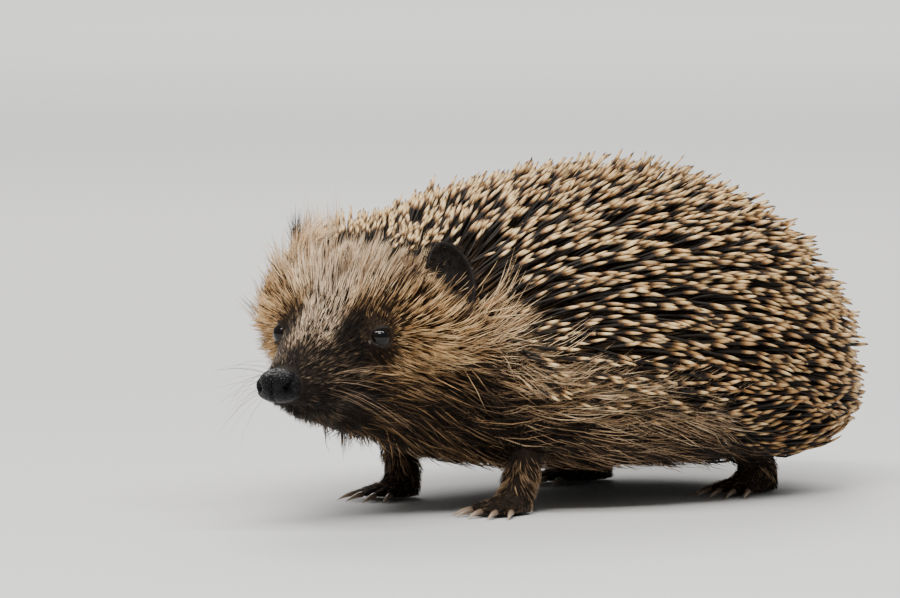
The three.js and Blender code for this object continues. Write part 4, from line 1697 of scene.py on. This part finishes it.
@dataclass
class Coat:
    """What fur and quills share: growing curves from the skin out to the frame's outline."""

    skin: Skin
    steepest: float = 0.9  # the most that a tip stands out, as a share of the length
    hug: float = 1.0  # 1 follows the curve of the skin, 0 goes straight on

    def grow(
        self, root: Array, normals: Array, ways: Array, length: Array, reach: Array, rise: Array
    ) -> tuple[Array, Array]:
        """Works out where each hair bends and ends.

        Args:
            root: the roots.
            normals: the way out of the skin at each.
            ways: the lie of each.
            length: the length of each.
            reach: how much of the coat's thickness each tip reaches through.
            rise: the angle each leaves the skin at, in radians.

        Returns:
            The places that the hairs bend towards, and their tips.
        """
        _, _, thick = self.skin.nearest(root)
        high = np.minimum(reach * thick, self.steepest * length)
        flat = np.sqrt(length**2 - high**2)
        ahead = root + ways * flat[:, None] * 0.97
        below, out, thick = self.skin.nearest(ahead)
        below = ahead + (below - ahead) * self.hug
        high = np.minimum(reach * thick, self.steepest * length)
        tip = below + out * high[:, None]
        stretch = length / np.maximum(np.linalg.norm(tip - root, axis=1), 0.2)
        tip = root + (tip - root) * np.minimum(stretch * 0.98, 1.25)[:, None]
        start = ways * np.cos(rise)[:, None] + normals * np.sin(rise)[:, None]
        return root + start * (0.42 * length)[:, None], tip


@dataclass
class QuillCoat(Coat):
    """The mantle of quills, from the forehead to the rump and down the flanks."""

    hug: float = 0.8
    density_along: tuple = (-85, 5, 28, 50, 64, 80)
    density: tuple = (0.228, 0.235, 0.27, 0.31, 0.42, 0.48)  # for each square millimetre
    width_along: tuple = (45, 75)
    width: tuple = (0.90, 0.72)
    length_along: tuple = (-85, -60, -20, 30, 55, 68, 79)
    length: tuple = (17.0, 19.5, 21.0, 20.0, 17.0, 12.5, 9.0)
    form: HairForm = HairForm(
        7, ((0.0, 0.5), (0.12, 0.75), (0.5, 0.84), (0.79, 0.95), (0.88, 0.98), (0.95, 0.64))
    )

    def make(self) -> None:
        """Grows the quills and makes them in two pieces, parted at the middle of the back."""
        growth = self._grow()
        material = QuillFinish().make()
        for side in Side:
            chosen = growth.body[:, 1] * side.value > 0
            piece = self.form.build(f"quills_{side.word}", growth.picked(chosen))
            names = nodes_of(Part.QUILLS) if side is Side.LEFT else ()
            finish_piece(piece, material, "quills", *names)

    def _density(self) -> Array:
        """Quills for each square millimetre at each vertex of the skin."""
        skin = self.skin
        density = np.interp(skin.body[:, 0], self.density_along, self.density)
        density = density * smoothstep(BUILD.above_roots(skin.body), -2.0, 1.0)
        density = density * np.isin(skin.part, [Part.BODY.value, Part.HEAD.value])
        return density * (BUILD.from_ear(skin.body) > 6.5)

    def _grow(self) -> Growth:
        """Grows all the quills."""
        seeds = Seeds(self.skin, 11)
        root, normals, part, _ = seeds.scatter(self._density(), 1.0)
        body = SPINE.to_body(root)
        count, rng = len(root), seeds.rng
        crown = smoothstep(body[:, 0], 50.0, 70.0)
        ways = COMB.quills(body, normals)
        ways = COMB.turned(ways, normals, np.radians(rng.normal(0, 1, count) * (6 + 9 * crown)))
        length = np.interp(body[:, 0], self.length_along, self.length) * rng.normal(1, 0.07, count)
        low = 1 - smoothstep(BUILD.above_fringe(body), 0.0, 12.0)
        length = length * (1 - 0.22 * low * (1 - crown))
        reach = rng.normal(0.95, 0.09, count) - 0.22 * (rng.random(count) < 0.25)
        reach = reach + crown * (0.12 + 0.22 * (rng.random(count) < 0.12))
        front = smoothstep(body[:, 0], 64, 72) * smoothstep(np.abs(body[:, 1]), 4, 9)
        beside_ear = (1 - smoothstep(BUILD.from_ear(body), 9, 15)) * smoothstep(body[:, 2], 58, 62)
        front = front * (0.5 + 0.4 * (body[:, 1] < 0))
        reach = np.clip(reach + front + 0.6 * beside_ear, 0.55, 2.3)
        rise = np.radians(rng.normal(52 + 14 * crown, 6, count))
        bend, tip = self.grow(root, normals, ways, length, reach, rise)
        tone, warmth = MARKINGS.quills(root, body)
        width = np.interp(body[:, 0], self.width_along, self.width)
        growth = Growth(
            root=root - normals * 0.5,
            bend=bend,
            tip=tip,
            width=width * rng.normal(1, 0.09, count) * (1 - 0.2 * low * (1 - crown)),
            body=body,
            part=part,
            tone=np.clip(tone + rng.normal(0, 0.19, count), 0, 1),
            warmth=np.clip(warmth + rng.normal(0, 0.25, count), 0, 1),
            chance=rng.random(count),
        )
        return growth.picked(~self._through_ear(growth))

    @staticmethod
    def _through_ear(growth: Growth) -> Array:
        """Marks the quills that would run through an ear."""
        found = np.zeros(len(growth.root), bool)
        for s in np.linspace(0, 1, 9):
            place = (1 - s) ** 2 * growth.root + 2 * s * (1 - s) * growth.bend + s**2 * growth.tip
            for side in Side:
                local = EarShell(side).inside(place)
                local[:, 0] = np.where(local[:, 0] > 0, local[:, 0] * 0.6, local[:, 0])
                found |= np.linalg.norm(local, axis=1) < 1.18
        return found


class Patch(Enum):
    """Stretches of the fur that are pieces of their own."""

    MUZZLE = "muzzle"
    FOREHEAD = "forehead"
    CHEEK = "cheek"
    RUFF = "ruff"
    FLANK = "flank"
    BELLY = "belly"


@dataclass
class FurCoat(Coat):
    """The fur of the face, neck, flanks, belly, legs, feet, ears and tail."""

    length_along: tuple = (-80, -45, 0, 35, 52, 64, 74, 82, 88, 94, 100, 112, 116)
    length: tuple = (15.0, 18.0, 20.0, 20.0, 18.5, 16.0, 14.0, 10.8, 6.6, 4.0, 2.8, 1.9, 1.4)
    density_along: tuple = (-80, 0, 45, 60, 74, 86, 95, 116)
    density: tuple = (1.5, 1.6, 2.3, 3.5, 5.2, 7.6, 9.6, 10.6)
    width_by_length: tuple = ((1.0, 3.0, 8.0, 20.0), (0.10, 0.14, 0.21, 0.29))
    locks: float = 11.0  # hairs in a lock
    long_form: HairForm = HairForm(3, ((0.0, 0.8), (0.34, 1.0), (0.70, 0.75)))
    short_form: HairForm = HairForm(3, ((0.0, 0.9), (0.5, 0.9)))

    def make(self) -> None:
        """Grows the fur and makes a piece of each stretch of it on each side."""
        growth = self._grow()
        material = FurFinish().make()
        where = self._patches(growth)
        for patch in Patch:
            for side in Side:
                chosen = (where == patch.value) & (growth.body[:, 1] * side.value > 0)
                form = self.short_form if patch is Patch.MUZZLE else self.long_form
                piece = form.build(f"fur_{patch.value}_{side.word}", growth.picked(chosen))
                slot = "pelt" if patch in (Patch.FLANK, Patch.BELLY, Patch.RUFF) else "face_fur"
                finish_piece(piece, material, slot)

    def _patches(self, growth: Growth) -> Array:
        """The name of the stretch that each hair belongs to."""
        along, _, up = growth.body.T
        where = np.full(len(along), Patch.FLANK.value, dtype="<U8")
        where[(up < 14) | (growth.part == Part.LEG.value)] = Patch.BELLY.value
        where[along > 40] = Patch.RUFF.value
        where[along > 62] = Patch.CHEEK.value
        where[(along > 62) & (up > 52)] = Patch.FOREHEAD.value
        where[(along > 88) | np.isin(growth.part, [Part.FOOT.value])] = Patch.MUZZLE.value
        return where

    def _density(self) -> Array:
        """Hairs for each square millimetre at each vertex of the skin."""
        skin = self.skin
        along, _, up = skin.body.T
        part = skin.part
        density = np.interp(along, self.density_along, self.density)
        density = density * (0.5 + 0.5 * smoothstep(up, 9, 16))
        for kind, value in ((Part.EAR, 3.6), (Part.LEG, 4.8), (Part.FOOT, 4.8), (Part.TAIL, 3.0)):
            density = np.where(part == kind.value, value, density)
        above = BUILD.above_roots(skin.body)
        bare = smoothstep(above, 1.0 - 2.0 * (along > 58), 6.0 - 4.0 * (along > 58))
        density = density * np.where(part == Part.EAR.value, 1, 1 - bare)
        density = np.where(skin.lid_gap() < 2.7, 0.0, density * (1 - 0.9 * skin.ear_mouth()))
        density = np.where((part == Part.NOSE.value) | (along > 116.0), 0.0, density)
        return np.where(up < 1.0, 0.0, density)

    def _length(self, body: Array, part: Array) -> Array:
        """The fur's length at places on the animal."""
        along, left, up = body.T
        length = np.interp(along, self.length_along, self.length)
        length = length * (0.5 + 0.5 * smoothstep(up, 8, 18))
        # Shorter just before the quills and in front of the ears.
        crown = smoothstep(along, 52, 62)
        length = length * (1 - (0.25 + 0.2 * crown) * smoothstep(BUILD.above_roots(body), -8.0, 1.0))
        before_ear = 1 - smoothstep(BUILD.from_ear(body), 9.0, 18.0)
        before_ear = before_ear * smoothstep(left, 14, 18) * smoothstep(along, 62, 66)
        length = length * (1 - 0.62 * before_ear)
        length = length * (1 - 0.5 * BUILD.near_leg(body) * (1 - smoothstep(up, 13, 22)))
        under = smoothstep(along, 82, 90) * (1 - smoothstep(along, 106, 113)) * (1 - smoothstep(up, 25, 30))
        length = length + 2.4 * under
        length = np.minimum(length, 0.9 + 0.66 * np.maximum(BUILD.from_eye(body) - 3.2, 0))
        for kind, value in ((Part.EAR, 1.4), (Part.LEG, 3.4), (Part.FOOT, 1.8), (Part.TAIL, 2.8)):
            length = np.where(part == kind.value, value, length)
        return length

    def _grow(self) -> Growth:
        """Grows all the fur, drawn together in locks."""
        seeds = Seeds(self.skin, 23)
        root, normals, part, _ = seeds.scatter(self._density(), 0.0)
        body = SPINE.to_body(root)
        count, rng = len(root), seeds.rng
        length = self._length(body, part) * np.clip(rng.normal(1, 0.16, count), 0.55, 1.4)
        ways = COMB.fur(root, body, part, normals)
        loose = 7 + 11 * smoothstep(length, 4, 16)
        ways = COMB.turned(ways, normals, np.radians(rng.normal(0, 1, count) * loose))
        over = rng.random(count) < MARKINGS.pale_share(body)
        length = length * np.where(over, 1.1, 0.8)
        proud = smoothstep(body[:, 0], 56, 66) * (1 - smoothstep(body[:, 0], 86, 94))
        reach = rng.normal(np.where(over, 1.12 + 0.38 * proud, 0.6 + 0.2 * proud), 0.18, count)
        wild = proud * (over & (rng.random(count) < 0.13))
        tuft = smoothstep(-body[:, 1], 6, 11) * smoothstep(body[:, 2], 52, 58) * smoothstep(body[:, 0], 58, 64)
        tuft = tuft * (1 - smoothstep(body[:, 0], 80, 88))
        reach = np.clip(reach + 0.5 * wild, 0.3, 2.2) + tuft * np.where(over, 0.9, 0.2) * rng.random(count)
        length = length * (1 + 0.35 * wild + 0.45 * tuft * over)
        rise = np.radians(rng.normal(36 + 8 * proud, 9, count))
        bend, tip = self.grow(root, normals, ways, length, reach, rise)
        bend, tip, shade = self._lock(root, bend, tip, length, rng)
        stand = tuft * np.where(over, 1.6 + 6.4 * rng.random(count) ** 2, 1.6)
        bend[:, 2] += 0.5 * stand
        tip[:, 2] += stand
        tip[:, 2] -= 0.03 * length * smoothstep(length, 8, 18)
        tip[:, 2] = np.maximum(tip[:, 2], 0.4)
        tone, warmth = MARKINGS.fur(root, body, part)
        tone = np.where(over, tone + shade, MARKINGS.undercoat(tone + shade))
        return Growth(
            root=root - normals * 0.25,
            bend=bend,
            tip=tip,
            width=np.interp(length, *self.width_by_length) * np.where(over, 0.92, 1.05),
            body=body,
            part=part,
            tone=np.clip(tone + rng.normal(0, 0.05, count) * over, 0, 1),
            warmth=np.clip(warmth + rng.normal(0, 0.1, count), 0, 1),
            chance=rng.random(count),
        )

    def _lock(
        self, root: Array, bend: Array, tip: Array, length: Array, rng: np.random.Generator
    ) -> tuple[Array, Array, Array]:
        """Draws neighbouring hairs together towards the tip of one of them.

        Args:
            root: the roots.
            bend: the places that the hairs bend towards.
            tip: the tips.
            length: the lengths.
            rng: random numbers.

        Returns:
            The bends and tips, moved, and how much paler or darker each one's lock is.
        """
        count = len(root)
        leaders = np.flatnonzero(rng.random(count) < 1 / self.locks)
        tree = KDTree(len(leaders))
        for i, leader in enumerate(leaders.tolist()):
            tree.insert(root[leader], i)
        tree.balance()
        mine = leaders[[tree.find(p)[1] for p in root.tolist()]]
        pull = rng.uniform(0.40, 0.88, count) * (0.4 + 0.6 * smoothstep(length, 2, 8))
        pull = pull[:, None]
        carried = tip[mine] - root[mine] + root * 0.25 + root[mine] * 0.75
        shade = np.clip(rng.normal(0, 0.11, count), -0.25, 0.2)[mine]
        return bend + (bend[mine] - bend) * pull * 0.3, tip + (carried - tip) * pull, shade


@dataclass
class Whiskers(Coat):
    """Long stiff hairs on the muzzle, in rows on each side."""

    rows: int = 4
    each: int = 5
    shortest: float = 13.0
    longest: float = 30.0
    width: float = 0.10
    form: HairForm = HairForm(4, ((0.0, 1.0), (0.3, 0.85), (0.55, 0.65), (0.8, 0.4)))

    def make(self) -> None:
        """Sets the whiskers and makes them one piece."""
        rng = np.random.default_rng(31)
        places, ways, lengths = [], [], []
        for side in Side:
            for row in range(self.rows):
                for k in range(self.each):
                    along = 98.5 + 2.6 * k + rng.normal(0, 0.4)
                    places.append([along, side.value * 12.0, 33.6 + 1.7 * row + rng.normal(0, 0.3)])
                    spread = rng.normal(0, 0.1, 3)
                    ahead = -0.75 + 0.17 * k
                    ways.append([ahead, side.value * 0.85, -0.25 + 0.16 * row] + spread)
                    span = self.longest - self.shortest
                    lengths.append(self.shortest + span * (1 - k / self.each) * rng.uniform(0.7, 1))
        body = np.array(places)
        root, normals, _ = self.skin.nearest(SPINE.to_world(body))
        body = SPINE.to_body(root)
        way = unit(SPINE.direct(body[:, 0], np.array(ways)))
        length = np.array(lengths)[:, None]
        bend = root + unit(way + 0.35 * normals) * length * 0.5
        sag = UP * (0.016 * length**2)
        count = len(root)
        growth = Growth(
            root=root - normals * 0.3,
            bend=bend,
            tip=root + way * length - sag,
            width=np.full(count, self.width),
            body=body,
            part=np.full(count, Part.HEAD.value),
            tone=np.where(rng.random(count) < 0.5, 0.08, 0.66),
            warmth=np.full(count, 0.2),
            chance=rng.random(count),
        )
        finish_piece(self.form.build("whiskers", growth), FurFinish("whisker", 0.6).make(), "face_fur")


# ---- The studio ----------------------------------------------------------------------------------


@dataclass
class Studio:
    """A pale floor, soft light and the camera."""

    look_at: tuple[float, float, float] = (-69.6, -53.7, 57.05)
    back: tuple[float, float, float] = (-0.6803, -0.7296, 0.0698)  # from the animal to the camera
    distance: float = 1800.0
    lens: float = 301.0
    sensor: float = 36.0

    def make(self) -> None:
        """Builds the floor, the lights and the camera."""
        self._floor()
        self._sky()
        self._light("sky", (-0.51, -0.50, 1.39), (2.4, 0.11), 33.0, (0.98, 0.99, 1.0))
        self._light("key", (-0.95, -0.75, 1.25), (0.7, 0.12), 15.0, (1.0, 0.96, 0.91))
        self._light("rim", (0.7, 0.9, 1.1), (0.9, 0.9), 9.0, (1.0, 0.98, 0.95))
        self._light("near_floor", (1.9, 2.0, 1.7), (2.4, 2.4), 34.0, (1.0, 0.99, 0.97), (1.9, 2.05, 0.0))
        self._light("far_floor", (3.6, 3.9, 2.6), (3.0, 3.0), 90.0, (1.0, 0.99, 0.97), (3.4, 3.6, 0.0))
        self._camera()

    def _floor(self) -> None:
        """A wide round floor."""
        deselect_all()
        bpy.ops.mesh.primitive_circle_add(vertices=96, radius=14.0, fill_type="NGON")
        floor = bpy.context.object
        floor.name = "floor"
        floor.data.materials.append(FloorFinish().make())

    def _sky(self) -> None:
        """An even pale surround."""
        world = bpy.data.worlds.new("surround")
        bpy.context.scene.world = world
        world.use_nodes = True
        background = world.node_tree.nodes["Background"]
        background.inputs["Color"].default_value = (0.88, 0.89, 0.90, 1.0)
        background.inputs["Strength"].default_value = 0.34

    def _light(
        self,
        name: str,
        place: tuple,
        size: tuple,
        power: float,
        colour: tuple,
        target: tuple = (0.0, 0.0, 0.04),
    ) -> None:
        """A soft oblong light that faces the animal or another place."""
        lamp = bpy.data.lights.new(name, "AREA")
        lamp.shape = "RECTANGLE"
        lamp.size, lamp.size_y = size
        lamp.energy = power
        lamp.color = colour
        light = bpy.data.objects.new(name, lamp)
        light.location = place
        aim = Vector(target) - light.location
        light.rotation_euler = aim.to_track_quat("-Z", "Y").to_euler()
        bpy.context.collection.objects.link(light)

    def _camera(self) -> None:
        """A long lens from the front left, just above the animal."""
        camera = bpy.data.objects.new("camera", bpy.data.cameras.new("camera"))
        camera.data.lens = self.lens
        camera.data.sensor_width = self.sensor
        camera.data.clip_end = 100.0
        back = Vector(self.back).normalized()
        camera.location = (Vector(self.look_at) + back * self.distance) * MM
        camera.rotation_euler = back.to_track_quat("Z", "Y").to_euler()
        bpy.context.collection.objects.link(camera)
        bpy.context.scene.camera = camera


def main() -> None:
    """Builds the hedgehog and the studio round it."""
    logging.basicConfig(level=logging.INFO, format="%(message)s")
    outline = Outline()
    skin = Skin()
    skin.make(outline)
    for side in Side:
        EyeBall(side).make()
    NosePad().make()
    Claws().make()
    QuillCoat(skin).make()
    FurCoat(skin).make()
    Whiskers(skin).make()
    Studio().make()


if __name__ == "__main__":
    main()
